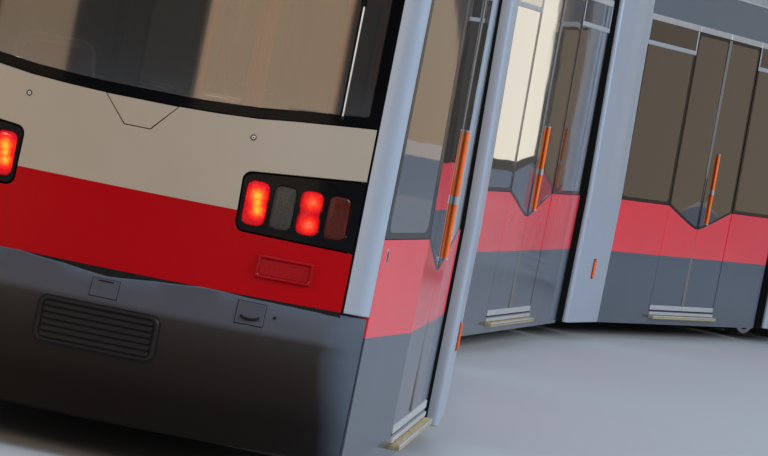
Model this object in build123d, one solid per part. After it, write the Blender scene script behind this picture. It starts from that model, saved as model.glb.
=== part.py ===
from build123d import *
import os
from math import sin, cos, radians

# Five-section low-floor tram on four wheel portals, millimetres, +Z up.
# z = 0 is the lowest point of the wheel flanges, so the rail head is at RAIL.
# It stands in a bend: each section and each portal has its own heading.

# ---------- driving dimensions ----------
RAIL = 25            # flange depth below the rail head
PITCH = 5630         # portal to portal
W = 1120             # half width over the side panels, up to the sill
TUMBLE = 0.024       # the sides lean in above the sill, per unit of height
A = 710              # portal centre to the end face of a section
C = 490              # half length of a portal column
H = (A + C) / 2      # portal centre to the upright hinge axis in the middle of the gap
PROUD = 62           # column skin stands out from the side panels
LEAF = 848           # width of one door leaf
TS = 60              # side wall thickness
TR = 50              # roof shell thickness
TG = 10              # glass thickness
GAP = 4              # gap round glass and doors

ZF = 207 + RAIL      # floor
TF = 55              # floor plate
ZS = 100 + RAIL      # lower edge of the side walls
ZDB = 212 + RAIL     # lower edge of the door leaves
ZRB = 636 + RAIL     # lower edge of the coloured band
ZRT = 1042 + RAIL    # upper edge of the band = window sill
ZDIP = 880 + RAIL    # lowest point of the band over a door
ZWT = 2440 + RAIL    # top of windows and doors
ZCB = 112 + RAIL     # lower edge of the column skins
ZEAVE = 2745 + RAIL  # joint between side walls and roof
ZROOF = 3060 + RAIL  # crown of the roof
ZTOP = 3360 + RAIL   # highest fairing on the roof

# bends in degrees at portal 1..4, a bend to the right going forward is positive
BEND = (-5.0, 11.4, 10.1, 8.0)

# wheels
GAUGE = 1435
R_TREAD = 345
R_FLANGE = R_TREAD + RAIL
TREAD_W = 95

# gangway
GW = 580             # half width of the gangway opening
ZGW = 2130           # top of the gangway opening
RT = 420             # radius of the round floor plates on the hinge axes

# middle of the row's bounding box, taken off everything
ORIGIN = (912.183, -23.35)

os.makedirs("parts", exist_ok=True)


def bx(x0, x1, y0, y1, z0, z1):
    return Pos((x0 + x1) / 2, (y0 + y1) / 2, (z0 + z1) / 2) * Box(
        abs(x1 - x0), abs(y1 - y0), abs(z1 - z0))


def cyl(x, y, z, r, h, axis="z"):
    c = Cylinder(r, h)
    if axis == "x":
        c = Rot(0, 90, 0) * c
    if axis == "y":
        c = Rot(90, 0, 0) * c
    return Pos(x, y, z) * c


def prism_x(pts, x0, x1):
    """closed (y, z) outline pushed along x"""
    f = make_face(Polyline([(x0, y, z) for y, z in pts], close=True))
    return extrude(f, x1 - x0, dir=(1, 0, 0))


def prism_y(pts, y0, y1):
    """closed (x, z) outline pushed along y"""
    f = make_face(Polyline([(x, y0, z) for x, z in pts], close=True))
    return extrude(f, y1 - y0, dir=(0, 1, 0))


def prism_z(pts, z0, z1):
    """closed (x, y) outline pushed along z"""
    f = make_face(Polyline([(x, y, z0) for x, y in pts], close=True))
    return extrude(f, z1 - z0, dir=(0, 0, 1))


def mirror_x(s):
    return mirror(s, Plane.YZ)


def soft_box(x0, x1, y0, y1, z0, z1, r, axis):
    """a box with the four edges along one axis rounded"""
    b = bx(x0, x1, y0, y1, z0, z1)
    return fillet(b.edges().filter_by(axis), r)


def side_x(z):
    """outside of a side wall at height z"""
    return W - max(0.0, z - ZRT) * TUMBLE


def slab(o0, o1, y0, y1, z0, z1):
    """a plate that follows the side wall, from o0 to o1 in from its outside"""
    zs = [z0] + ([ZRT] if z0 < ZRT < z1 else []) + [z1]
    out = [(side_x(z) - o0, z) for z in zs]
    inn = [(side_x(z) - o1, z) for z in reversed(zs)]
    return prism_y(out + inn, y0, y1)


# ---------- headings and places of sections and portals ----------
def turn(p, h):
    c, s = cos(radians(h)), sin(radians(h))
    return (p[0] * c - p[1] * s, p[0] * s + p[1] * c)


b1, b2, b3, b4 = BEND
head = {"middle_car": 0.0}
head["portal_2"] = b2 / 2
head["second_car"] = b2
head["portal_1"] = b2 + b1 / 2
head["rear_car"] = b2 + b1
head["portal_3"] = -b3 / 2
head["fourth_car"] = -b3
head["portal_4"] = -b3 - b4 / 2
head["front_car"] = -b3 - b4
HM = PITCH / 2 - H   # middle of a section to its hinge axes


def ahead(unit, y):
    """the point at y on a unit's own long axis, in the row"""
    dx, dy = turn((0, y), head[unit])
    return (place[unit][0] + dx, place[unit][1] + dy)


def hang(unit, y, joint):
    """puts a unit so that its own point (0, y) is at the joint"""
    dx, dy = turn((0, y), head[unit])
    place[unit] = (joint[0] - dx, joint[1] - dy)


place = {"middle_car": (0.0, 0.0)}
axis = {}
# chain rearwards and forwards from the middle section: unit, its own y at the joint, parent, parent's y, joint name
for unit, yu, parent, yp, joint in (
    ("portal_2", H, "middle_car", -HM, "middle_to_portal_2"),
    ("second_car", HM, "portal_2", -H, "portal_2_to_second"),
    ("portal_1", H, "second_car", -HM, "second_to_portal_1"),
    ("rear_car", -H, "portal_1", -H, "portal_1_to_rear"),
    ("portal_3", -H, "middle_car", HM, "middle_to_portal_3"),
    ("fourth_car", -HM, "portal_3", H, "portal_3_to_fourth"),
    ("portal_4", -H, "fourth_car", HM, "fourth_to_portal_4"),
    ("front_car", H, "portal_4", H, "portal_4_to_front"),
):
    axis[joint] = ahead(parent, yp)
    hang(unit, yu, axis[joint])

written = {}


def put(name, solids, unit):
    """writes one node: local solids of a unit go to their place in the row"""
    loc = Pos(place[unit][0] - ORIGIN[0], place[unit][1] - ORIGIN[1], 0) * Rot(0, 0, head[unit])
    flat = []
    for s in solids:
        flat += list(s.solids())
    comp = Compound(children=[loc * s for s in flat])
    export_step(comp, f"parts/{name}.step")
    written[name] = comp


# ---------- shared section pieces, in the section's own axes ----------
def pane(y0, y1, z0, z1, g=GAP):
    """one window pane, 4 mm inside the outer face"""
    keep = soft_box(W - 150, W + 50, y0 + g, y1 - g, z0 + g, z1 - g, 56, Axis.X)
    return slab(4, 4 + TG, y0, y1, z0, z1) & keep


def window_hole(y0, y1, z0, z1):
    return soft_box(W - 150, W + 50, y0, y1, z0, z1, 60, Axis.X)


def door_window(sign, g=0):
    """outline (y, z) of the opening in a leaf, set in by g: sign -1 rear leaf, +1 front leaf, meeting edge at y = 0"""
    m0, m1, top = 62 + g, LEAF - 62 - g, ZWT - 75 - g
    lo, mid, hi = ZDIP + 12 + g, ZDIP + 118 + g, ZRT + g
    return [(sign * m0, lo), (sign * 430, mid), (sign * m1, hi), (sign * m1, top), (sign * m0, top)]


def leaves(yc):
    """two door leaves and their glass round y = yc"""
    out, glass = [], []
    for s in (-1, 1):
        y0, y1 = (yc - LEAF + GAP, yc - GAP) if s < 0 else (yc + GAP, yc + LEAF - GAP)
        leaf = slab(2, 44, y0, y1, ZDB, ZWT - GAP)
        leaf = leaf - prism_x([(yc + y, z) for y, z in door_window(s)], W - 150, W + 20)
        out.append(leaf)
        glass.append(slab(6, 6 + TG, yc - LEAF, yc + LEAF, ZDB, ZWT) & prism_x([(yc + y, z) for y, z in door_window(s, GAP)], W - 150, W + 20))
    return out, glass


def door_hole(yc):
    return bx(W - 150, W + 20, yc - LEAF, yc + LEAF, ZDB - GAP, ZWT)


def step_plate(yc):
    """tread plate under a door, standing out from the sill"""
    return bx(W - 20, W + 46, yc - LEAF + 10, yc + LEAF - 10, ZDB - 62, ZDB - 38)


# outer line of the roof from the right eave to the crown, (x, z)
XE = side_x(ZEAVE)
ROOF_LINE = ((XE, ZEAVE), (XE - 4, ZEAVE + 100), (XE - 60, ZEAVE + 200), (XE - 190, ZROOF - 50), (XE - 420, ZROOF - 8), (0, ZROOF))
ROOF_IN = ((XE - TS, ZEAVE), (XE - TS - 4, ZEAVE + 84), (XE - 108, ZEAVE + 168), (XE - 215, ZROOF - 95), (XE - 430, ZROOF - 58), (0, ZROOF - TR))


def both_sides(half):
    return list(half) + [(-x, z) for x, z in reversed(half[:-1])]


def roof_shell(y0, y1):
    low_in = [(XE - TS, ZEAVE - 10)] + list(ROOF_IN[1:])
    return prism_y(both_sides(ROOF_LINE), y0, y1) - prism_y(both_sides(low_in), y0 - 10, y1 + 10)


def end_wall(y0, y1):
    """closes the roof over the gangway: from the top of the opening up into the crown"""
    up = [(XE - TS + 1, ZEAVE + 1)] + [(x + 1, z + 1) for x, z in ROOF_IN[1:-1]] + [(0, ROOF_IN[-1][1] + 1)]
    pts = [(GW + 30, ZGW), (GW + 30, ZEAVE + 1)] + up
    return prism_y(both_sides(pts), y0, y1)


def end_return(y0, y1):
    """bulkhead between the right side wall and the gangway"""
    return prism_y([(GW + 30, ZF), (W - TS + 1, ZF), (W - TS + 1, ZRT), (XE - TS + 1, ZEAVE), (GW + 30, ZEAVE)], y0, y1)


def seat(x, y, face, w=440):
    """one seat, (x, y) middle of the cushion, face +1 looks forward"""
    base = bx(x - w / 2, x + w / 2, y - 200, y + 200, ZF + 380, ZF + 450)
    ped = bx(x - 60, x + 60, y - 150, y + 150, ZF, ZF + 380)
    yb0, yb1 = (y - 250, y - 200) if face > 0 else (y + 200, y + 250)
    back = bx(x - w / 2, x + w / 2, yb0, yb1, ZF + 380, ZF + 1080)
    return (base + ped) + back


# ---------- the three middle sections ----------
LM = PITCH / 2 - A
# windows of a middle section: side (+1 right), y from, y to
MID_WINDOWS = (
    (+1, -LM + 60, -LEAF - 60),
    (+1, LEAF + 60, LM - 60),
    (-1, -LM + 60, -LM + 1365),
    (-1, -LM + 1435, LM - 1435),
    (-1, LM - 1365, LM - 60),
)
# seats of a middle section: x, y, facing
MID_SEATS = (
    (-820, -1560, +1), (-375, -1560, +1),
    (-820, -520, +1), (-375, -520, +1),
    (-820, 520, -1), (-375, 520, -1),
    (-820, 1560, -1), (-375, 1560, -1),
    (820, -1560, +1), (820, 1560, -1),
)


def middle_section(name):
    # floor, hollowed round the two round plates, with ribs and two long beams below
    floor = bx(-W + TS, W - TS, -LM, LM, ZF - TF, ZF)
    for s in (-1, 1):
        floor = floor - cyl(0, s * HM, ZF - TF / 2, RT + 12, TF + 20)
    for y in (-1850, -1110, -370, 370, 1110, 1850):
        floor = floor + bx(-W + TS, W - TS, y - 30, y + 30, ZF - TF - 50, ZF - TF)
    for x in (-700, 700):
        floor = floor + bx(x - 35, x + 35, -LM + 60, LM - 60, ZF - TF - 50, ZF - TF)
    put(f"{name}_floor", [floor], name)

    walls = []
    for side in (+1, -1):
        wall = slab(0, TS, -LM, LM, ZS, ZEAVE)
        for sd, y0, y1 in MID_WINDOWS:
            if sd == side:
                wall = wall - window_hole(y0, y1, ZRT, ZWT)
        if side > 0:
            wall = (wall - door_hole(0)) + step_plate(0)
        for y0, y1 in ((-LM, -LM + 40), (LM - 40, LM)):
            wall = wall + end_return(y0, y1)
        walls.append(wall if side > 0 else mirror_x(wall))
    put(f"{name}_sides", walls, name)

    roof = roof_shell(-LM, LM)
    for y0, y1 in ((-LM, -LM + 40), (LM - 40, LM)):
        roof = roof + end_wall(y0, y1)
    put(f"{name}_roof", [roof], name)

    out, glass = leaves(0)
    put(f"{name}_doors", out, name)
    for sd, y0, y1 in MID_WINDOWS:
        p = pane(y0, y1, ZRT, ZWT)
        glass.append(p if sd > 0 else mirror_x(p))
    put(f"{name}_glass", glass, name)
    put(f"{name}_seats", [seat(*r) for r in MID_SEATS], name)


for car in ("second_car", "middle_car", "fourth_car"):
    middle_section(car)

# ---------- the two end sections, built as the rear one (body towards -y) ----------
YD = -A - 30 - LEAF         # middle of the door
YK = YD - LEAF - 6          # kink in the side behind the door
TX, TY = 1012, -3345        # tapered panel meets the corner pillar
PX, PY = 914, -3406         # pillar meets the face
YE = -3600                  # face at the centreline
ZFACE = 730 + RAIL          # lower edge of the face panel
# lower edge of the windscreen, (x, z) from the middle out
SCREEN = ((160, 1402 + RAIL), (458, 1415 + RAIL), (905, 1460 + RAIL))
ZST = 2470 + RAIL           # top of the windscreen
# lamp recess, (x, z)
LAMP = ((447, 976 + RAIL), (903, 966 + RAIL), (903, 1250 + RAIL), (441, 1206 + RAIL))
TM = 60                     # face panel thickness
# bumper: ridge line further out than the face, facets at the corners
BX, BY = 872, -3462         # end of the front curve
BE = -3660                  # ridge at the centreline
ZB0, ZB1, ZB2 = 150 + RAIL, 600 + RAIL, 716 + RAIL   # lower edge, ridge, upper edge


def plan(w, off, xk=None):
    """closed plan of the nose at half width w, set in by off: straight sides, pillars, one arc"""
    t = (TX - off * 1.02, TY + off * 0.25)
    p_ = (PX - off * 0.55, PY + off * 0.90)
    e = (0, YE + off)
    right = Polyline((w - off, -A), (w - off, YK), t, p_)
    left = Polyline((-p_[0], p_[1]), (-t[0], t[1]), (-w + off, YK), (-w + off, -A))
    arc = ThreePointArc(p_, e, (-p_[0], p_[1]))
    return make_face([right, arc, left, Line((-w + off, -A), (w - off, -A))])


def plan_solid(off, z0, z1, w=W):
    return extrude(Pos(0, 0, z0) * plan(w, off), z1 - z0, dir=(0, 0, 1))


def tapered(o0, o1, y0, y1, z0, z1):
    """piece of the right side wall behind the kink, from o0 to o1 in: leans in at the kink, upright at the pillar"""
    def outline(z):
        pts = []
        for o, ys in ((o0, (y1, y0)), (o1, (y0, y1))):
            for y in ys:
                k = (YK - y) / (YK - TY)
                pts.append((side_x(z) + (TX - side_x(z)) * k - o, y, z))
        return make_face(Polyline(pts, close=True))
    if z1 <= ZRT:
        return extrude(outline(z0), z1 - z0, dir=(0, 0, 1))
    return loft([outline(z0), outline(z1)], ruled=True)


def end_section(name, flip):
    def out(node, solids):
        flat = []
        for s in solids:
            for q in s.solids():
                flat.append(Rot(0, 0, 180) * q if flip else q)
        put(f"{name}_{node}", flat, name)

    dside = -1 if flip else +1      # the doors stay on the right of the whole vehicle

    def sided(s, side):
        return s if side > 0 else mirror_x(s)

    # floor
    fl = plan_solid(TS + 30, ZF - TF, ZF) - cyl(0, -H, ZF - TF / 2, RT + 12, TF + 20)
    for y in (-3150, -2500, -1850, -1250):
        fl = fl + bx(-900, 900, y - 30, y + 30, ZF - TF - 50, ZF - TF)
    out("floor", [fl])

    # side walls up to the pillar, with the window behind the door
    yw0, yw1 = TY + 70, YK - 70
    walls, glass = [], []
    for side in (+1, -1):
        w = slab(0, TS, YK, -A, ZS, ZEAVE)
        # the tapered part goes round its window in four pieces: y from, y to, z from, z to
        for y0, y1, z0, z1 in ((TY, YK, ZS, ZRT), (TY, yw0, ZRT, ZWT), (yw1, YK, ZRT, ZWT), (TY, YK, ZWT, ZEAVE)):
            w = w + tapered(0, TS, y0, y1, z0, z1)
        glass.append(sided(tapered(4, 4 + TG, yw0 + GAP, yw1 - GAP, ZRT + GAP, ZWT - GAP), side))
        if side == dside:
            w = (w - door_hole(YD)) + step_plate(YD)
            lv, lg = leaves(YD)
            out("doors", [sided(q, side) for q in lv])
            glass += [sided(q, side) for q in lg]
        else:
            w = w - window_hole(YK + 70, -A - 60, ZRT, ZWT)
            glass.append(sided(pane(YK + 70, -A - 60, ZRT, ZWT), side))
        w = w + end_return(-A - 40, -A)
        walls.append(sided(w, side))
    out("sides", walls)

    # windscreen, cut from the plan of the nose
    scr = plan_solid(8, ZFACE, ZST) - plan_solid(22, ZFACE - 5, ZST + 5)
    sill = [(x, z + GAP) for x, z in SCREEN]
    frame_in = both_screen(sill, 4, ZST - GAP)
    scr = scr & prism_y(frame_in, -3800, -3300)
    glass.append(scr)
    out("glass", glass)

    # roof: straight shell, then a nose that falls towards the face
    roof = roof_shell(-3000, -A)
    body = plan_solid(0, ZEAVE, ZROOF) & prism_y(both_sides(ROOF_LINE), -3700, -3000)
    fall = prism_x([(-3000, ZROOF + 5), (-3750, ZROOF + 5), (-3750, ZEAVE + 130), (-3560, ZEAVE + 160), (-3330, ZEAVE + 265)], -W - 50, W + 50)
    nose = body - fall
    hollow = plan_solid(TS, ZEAVE - 5, ZEAVE + 100) & bx(-W, W, -3700, -2990, ZEAVE - 10, ZEAVE + 110)
    roof = roof + (nose - hollow) + end_wall(-A - 40, -A)
    out("roof", [roof])

    # end face: panel, pillars and header in one
    mask = plan_solid(0, ZFACE, ZEAVE) - plan_solid(TM, ZFACE - 5, ZEAVE + 5)
    mask = mask & bx(-W - 5, W + 5, -3750, TY - 4, ZFACE, ZEAVE)
    mask = mask - prism_y(both_screen(SCREEN, 0, ZST), -3800, -3300)
    for s in (-1, 1):
        mask = mask - prism_y([(s * x, z) for x, z in LAMP], -3800, -3300)
    out("end_face", [mask])

    # bumper: a band with a sloping upper part and facets at the corners
    def bplan(x, y, e, xc, yc, off):
        r = Polyline((xc - off, TY + 30), (xc - off, yc + off * 0.3), (x - off * 0.5, y + off * 0.9))
        a = ThreePointArc((x - off * 0.5, y + off * 0.9), (0, e + off), (-x + off * 0.5, y + off * 0.9))
        l = Polyline((-x + off * 0.5, y + off * 0.9), (-xc + off, yc + off * 0.3), (-xc + off, TY + 30), (xc - off, TY + 30))
        return make_face([r, a, l])
    low = extrude(Pos(0, 0, ZB0) * bplan(BX, BY, BE, 1004, -3352, 0), ZB1 - ZB0, dir=(0, 0, 1))
    up = loft([Pos(0, 0, ZB1) * bplan(BX, BY, BE, 1004, -3352, 0), Pos(0, 0, ZB2) * bplan(908, -3412, -3604, 1004, -3350, 0)], ruled=True)
    inner = extrude(Pos(0, 0, ZB0 - 5) * bplan(BX, BY, BE, 1004, -3352, 75), ZB2 - ZB0 + 10, dir=(0, 0, 1))
    bump = (low + up) - inner - bx(-W, W, TY - 8, TY + 200, 0, 1000)
    out("bumper", [bump])

    # lamp clusters, one in each recess
    lamps = []
    cx = sum(x for x, z in LAMP) / 4
    cz = sum(z for x, z in LAMP) / 4
    small = [(x + (3 if x < cx else -3), z + (3 if z < cz else -3)) for x, z in LAMP]
    for s in (-1, 1):
        lc = plan_solid(4, ZFACE, ZEAVE) - plan_solid(TM - 5, ZFACE - 5, ZEAVE + 5)
        lamps.append(lc & prism_y([(s * x, z) for x, z in small], -3800, -3300))
    out("lamps", lamps)

    # driver's desk on two legs, driver's seat, two pairs of seats
    desk = bx(-720, 720, -3290, -2960, ZF + 620, ZF + 860)
    for x in (-630, 630):
        desk = desk + bx(x - 70, x + 70, -3250, -3000, ZF, ZF + 620)
    m = -1 if flip else 1
    rows = ((0, -2600, -1), (-820 * m, -1500, -1), (-375 * m, -1500, -1))
    out("cab_and_seats", [desk] + [seat(*r) for r in rows])


def both_screen(sill, inset_x, top):
    """closed outline of the windscreen from its right half sill"""
    right = [(x - (inset_x if i == len(sill) - 1 else 0), z) for i, (x, z) in enumerate(sill)]
    pts = [(-x, z) for x, z in reversed(right)] + right
    return pts + [(right[-1][0], top), (-right[-1][0], top)]


end_section("rear_car", False)
end_section("front_car", True)


# ---------- portals ----------
def col_x(z):
    return W + PROUD - max(0.0, z - ZRT) * TUMBLE * 1.3


def portal(i):
    unit = f"portal_{i}"
    frame = None
    zt = ZEAVE + 60
    line = [(col_x(ZCB), ZCB), (col_x(ZRT), ZRT), (col_x(zt), zt)]
    for s in (+1, -1):
        # outer skin with rounded upright edges, inner wall, two cross walls
        skin = prism_y(line + [(x - 60, z) for x, z in reversed(line)], -C, C)
        cut_o = soft_box(W - 300, W + PROUD, -C, C, ZCB - 5, zt + 5, 30, Axis.Z)
        skin = skin & cut_o
        shell = skin + bx(GW + 30, GW + 60, -C, C, ZF - TF, zt)
        wall = [(GW + 30, ZCB + 30), (W + PROUD - 30, ZCB + 30), (W + PROUD - 30, ZRT), (col_x(zt) - 30, zt), (GW + 30, zt)]
        for y0, y1 in ((-C, -C + 40), (C - 40, C)):
            shell = shell + prism_y(wall, y0, y1)
        # shelf over the wheel and the upright drive block on it
        shell = shell + bx(GW + 40, W + PROUD - 40, -C + 20, C - 20, 900, 930)
        shell = shell + bx(GW + 50, W + PROUD - 90, -200, 200, 920, 1700)
        # stub axle carrier on the inner wall
        shell = shell + cyl(GW + 72, 0, RAIL + R_TREAD, 62, 64, "x")
        shell = shell if s > 0 else mirror_x(shell)
        frame = shell if frame is None else frame + shell
    # ceiling of the passage, and the roof over the columns
    frame = frame + bx(-GW - 50, GW + 50, -C, C, ZGW + 60, ZGW + 110)
    xt = col_x(zt)
    top = prism_y(both_sides(((xt, zt), (xt - 14, zt + 70), (xt - 80, zt + 160), (xt - 210, ZROOF - 40), (xt - 440, ZROOF - 2), (0, ZROOF + 4))), -C, C)
    top = top - prism_y(both_sides(((xt - 60, zt + 20), (xt - 70, zt + 60), (xt - 125, zt + 125), (xt - 235, ZROOF - 85), (0, ZROOF - 52))), -C + 40, C - 40)
    frame = frame + top
    # floor between the columns, a round plate on each hinge axis, and a cross beam
    frame = frame + bx(-GW - 40, GW + 40, -C, C, ZF - TF, ZF)
    for s in (-1, 1):
        frame = frame + cyl(0, s * H, ZF - TF / 2, RT, TF)
    frame = frame + bx(-GW - 40, GW + 40, -90, 90, ZF - TF - 50, ZF - TF + 5)
    put(f"{unit}_frame", [frame], unit)

    # gaiters towards both neighbours: an open hoop on each side
    hoops = []
    b = BEND[i - 1]
    o_line = ((W - 42, 170), (W - 42, ZRT), (XE - 42, ZEAVE), (XE - 60, ZEAVE + 110), (XE - 200, ZROOF - 75), (0, ZROOF - 45))
    i_line = ((W - 72, 160), (W - 72, ZRT), (XE - 72, ZEAVE - 5), (XE - 88, ZEAVE + 96), (XE - 212, ZROOF - 103), (0, ZROOF - 75))
    for s in (-1, 1):
        rel = -b / 2 if s > 0 else b / 2       # neighbour's heading in the portal's axes
        ya, yb = s * (C + 2), s * (C + 420)
        o = prism_y(both_sides(o_line), min(ya, yb), max(ya, yb))
        n = prism_y(both_sides(i_line), min(ya, yb) - 10, max(ya, yb) + 10)
        block = bx(-2500, 2500, s * (A - 3), s * (A + 900), 0, 4000)
        hoops.append((o - n) - Pos(0, s * H, 0) * Rot(0, 0, rel) * Pos(0, -s * H, 0) * block)
    put(f"{unit}_gaiter", hoops, unit)

    # wheels: half section (x, z), flange inboard, turned round the x axis
    xg = GAUGE / 2
    prof = [(xg - 32, 0), (xg - 32, R_FLANGE - 12), (xg - 26, R_FLANGE), (xg - 12, R_FLANGE), (xg, R_TREAD + 2),
            (xg + TREAD_W, R_TREAD - 3), (xg + TREAD_W, R_TREAD - 45), (xg + 62, R_TREAD - 55), (xg + 50, 110), (xg + 90, 100), (xg + 90, 0)]
    wheel = revolve(make_face(Polyline([(x, 0, z) for x, z in prof], close=True)), Axis.X, 360)
    wheel = wheel - cyl(xg - 20, 0, 0, 64, 40, "x")
    wheel = Pos(0, 0, RAIL + R_TREAD) * wheel
    put(f"wheel_{i}_right", [wheel], unit)
    put(f"wheel_{i}_left", [mirror_x(wheel)], unit)


for i in (1, 2, 3, 4):
    portal(i)

# ---------- roof equipment on the second and fourth sections ----------
for car in ("second_car", "fourth_car"):
    pod = bx(-860, 860, -1700, 1700, ZROOF - 30, ZTOP)
    pod = chamfer(pod.edges().filter_by(Axis.Y).group_by(Axis.Z)[-1], 90)
    pod = chamfer(pod.edges().filter_by(Axis.X).group_by(Axis.Z)[-1], 60)
    pod = pod - bx(-1000, 1000, -1800, 1800, ZROOF - 40, ZROOF + 6)
    put(f"{car}_roof_unit", [pod], car)

# ---------- pantograph on the middle section, folded ----------
ARM = 1250           # both arms
PZ = ZROOF + 120     # lower pivot and knee
PYL = -900           # lower pivot, y
PYK = PYL + ARM      # knee, y
ZU = PZ + 62         # upper arm when folded
base = bx(-480, 480, PYL - 150, PYK + 150, ZROOF + 2, ZROOF + 60)
base = base - bx(-390, 390, PYL + 90, PYK + 60, ZROOF - 10, ZROOF + 80)
for x in (-300, 300):
    base = base + (bx(x - 26, x + 26, PYL - 40, PYL + 40, ZROOF + 55, PZ + 40) - cyl(x, PYL, PZ, 22.06, 80, "x"))
put("pantograph_base", [base], "middle_car")
lower = bx(-24, 24, PYL, PYK, PZ - 18, PZ + 18) + cyl(0, PYL, PZ, 22, 756, "x") + cyl(0, PYK, PZ, 18, 580, "x")
for x in (-364, 364, -236, 236):
    lower = lower + cyl(x, PYL, PZ, 34, 24, "x")
put("pantograph_lower_arm", [lower], "middle_car")
upper = cyl(0, PYL, ZU, 14, 520, "x") + bx(-260, 260, PYK - 70, PYK - 46, ZU - 12, ZU + 12)
for x0, x1 in ((-260, -230), (230, 260)):
    upper = upper + bx(x0, x1, PYL, PYK + 20, ZU - 14, ZU + 14)
    upper = upper + (bx(x0, x1, PYK - 26, PYK + 26, PZ - 26, ZU) - cyl((x0 + x1) / 2, PYK, PZ, 18.06, 60, "x"))
put("pantograph_upper_arm", [upper], "middle_car")
strips = bx(-30, 30, PYL - 170, PYL + 170, ZU + 22, ZU + 44)
for y in (PYL - 145, PYL + 145):
    bar = bx(-560, 560, y - 25, y + 25, ZU + 26, ZU + 52)
    for s in (-1, 1):
        bar = bar + prism_y([(s * 555, ZU + 26), (s * 800, ZU - 30), (s * 800, ZU - 12), (s * 555, ZU + 52)], y - 20, y + 20)
    strips = strips + bar
put("pantograph_head", [strips], "middle_car")

lo = [1e9] * 3
hi = [-1e9] * 3
for n, c in written.items():
    b = c.bounding_box()
    for k, (l, h) in enumerate(zip(b.min, b.max)):
        lo[k] = min(lo[k], l)
        hi[k] = max(hi[k], h)
print("BOX", [round(v, 3) for v in lo], [round(v, 3) for v in hi])
print("MIDDLE", round((lo[0] + hi[0]) / 2, 3), round((lo[1] + hi[1]) / 2, 3))
for u in place:
    print("UNIT", u, round(place[u][0] - ORIGIN[0], 3), round(place[u][1] - ORIGIN[1], 3), head[u])
for j in axis:
    print("AXIS", j, round(axis[j][0] - ORIGIN[0], 3), round(axis[j][1] - ORIGIN[1], 3))
print(len(written), "nodes")
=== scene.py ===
import bpy
import bmesh
from math import sin, cos, tan, pi, radians, sqrt, atan2, floor
from mathutils import Vector, Matrix
from mathutils.geometry import tessellate_polygon


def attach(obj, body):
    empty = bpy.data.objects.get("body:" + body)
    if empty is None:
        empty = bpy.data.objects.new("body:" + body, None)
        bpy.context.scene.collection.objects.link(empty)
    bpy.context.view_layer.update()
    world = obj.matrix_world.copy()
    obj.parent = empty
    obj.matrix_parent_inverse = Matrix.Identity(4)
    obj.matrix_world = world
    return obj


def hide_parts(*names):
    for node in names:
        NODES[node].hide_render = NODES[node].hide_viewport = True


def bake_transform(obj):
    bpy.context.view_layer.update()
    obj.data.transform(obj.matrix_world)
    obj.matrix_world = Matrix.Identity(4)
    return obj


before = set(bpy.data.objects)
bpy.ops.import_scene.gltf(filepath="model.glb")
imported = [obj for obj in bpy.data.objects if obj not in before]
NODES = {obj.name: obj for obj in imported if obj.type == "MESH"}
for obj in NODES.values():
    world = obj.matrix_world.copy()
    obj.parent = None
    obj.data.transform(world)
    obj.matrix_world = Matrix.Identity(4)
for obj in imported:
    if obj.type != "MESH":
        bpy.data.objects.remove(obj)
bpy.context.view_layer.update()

# ================= sizes, metres =================
RAIL = .025
PITCH = 5.63
W = 1.12
TUMBLE = .024
A = .71
C = .49
H = (A + C) / 2
PROUD = .062
LEAF = .848
TS = .06
ZF = .232
ZS = .125
ZDB = .237
ZRB = .661
ZRT = 1.067
ZDIP = .905
ZWT = 2.465
ZCB = .137
ZEAVE = 2.77
ZROOF = 3.085
ZTOP = 3.385
BEND = (-5.0, 11.4, 10.1, 8.0)
GAUGE = 1.435
R_TREAD = .345
R_FLANGE = .370
TREAD_W = .095
GW = .58
ZGW = 2.13
ORIGIN = (.912183, -.02335)
LM = PITCH / 2 - A
HM = PITCH / 2 - H
XE = W - (ZEAVE - ZRT) * TUMBLE
# end sections
YD = -A - .03 - LEAF
YK = YD - LEAF - .006
TX, TY = 1.012, -3.345
PX, PY = .914, -3.406
YE = -3.600
FR = (PX ** 2 + (PY - YE) ** 2) / (2 * (PY - YE))   # radius of the face in plan
FC = YE + FR
ZFACE = .755
ZST = 2.495

# ================= places =================


def turn(p, h):
    c, s = cos(radians(h)), sin(radians(h))
    return (p[0] * c - p[1] * s, p[0] * s + p[1] * c)


b1, b2, b3, b4 = BEND
HEAD = {"middle_car": 0.0, "portal_2": b2 / 2, "second_car": b2, "portal_1": b2 + b1 / 2, "rear_car": b2 + b1,
        "portal_3": -b3 / 2, "fourth_car": -b3, "portal_4": -b3 - b4 / 2, "front_car": -b3 - b4}
PLACE = {"middle_car": (0.0, 0.0)}
for unit, yu, parent, yp in (
        ("portal_2", H, "middle_car", -HM), ("second_car", HM, "portal_2", -H), ("portal_1", H, "second_car", -HM),
        ("rear_car", -H, "portal_1", -H), ("portal_3", -H, "middle_car", HM), ("fourth_car", -HM, "portal_3", H),
        ("portal_4", -H, "fourth_car", HM), ("front_car", H, "portal_4", H)):
    dx, dy = turn((0, yp), HEAD[parent])
    jx, jy = PLACE[parent][0] + dx, PLACE[parent][1] + dy
    dx, dy = turn((0, yu), HEAD[unit])
    PLACE[unit] = (jx - dx, jy - dy)
MAT = {}
for u in PLACE:
    MAT[u] = Matrix.Translation((PLACE[u][0] - ORIGIN[0], PLACE[u][1] - ORIGIN[1], 0)) @ Matrix.Rotation(radians(HEAD[u]), 4, "Z")
MAT["front_car"] = MAT["front_car"] @ Matrix.Rotation(pi, 4, "Z")


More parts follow.
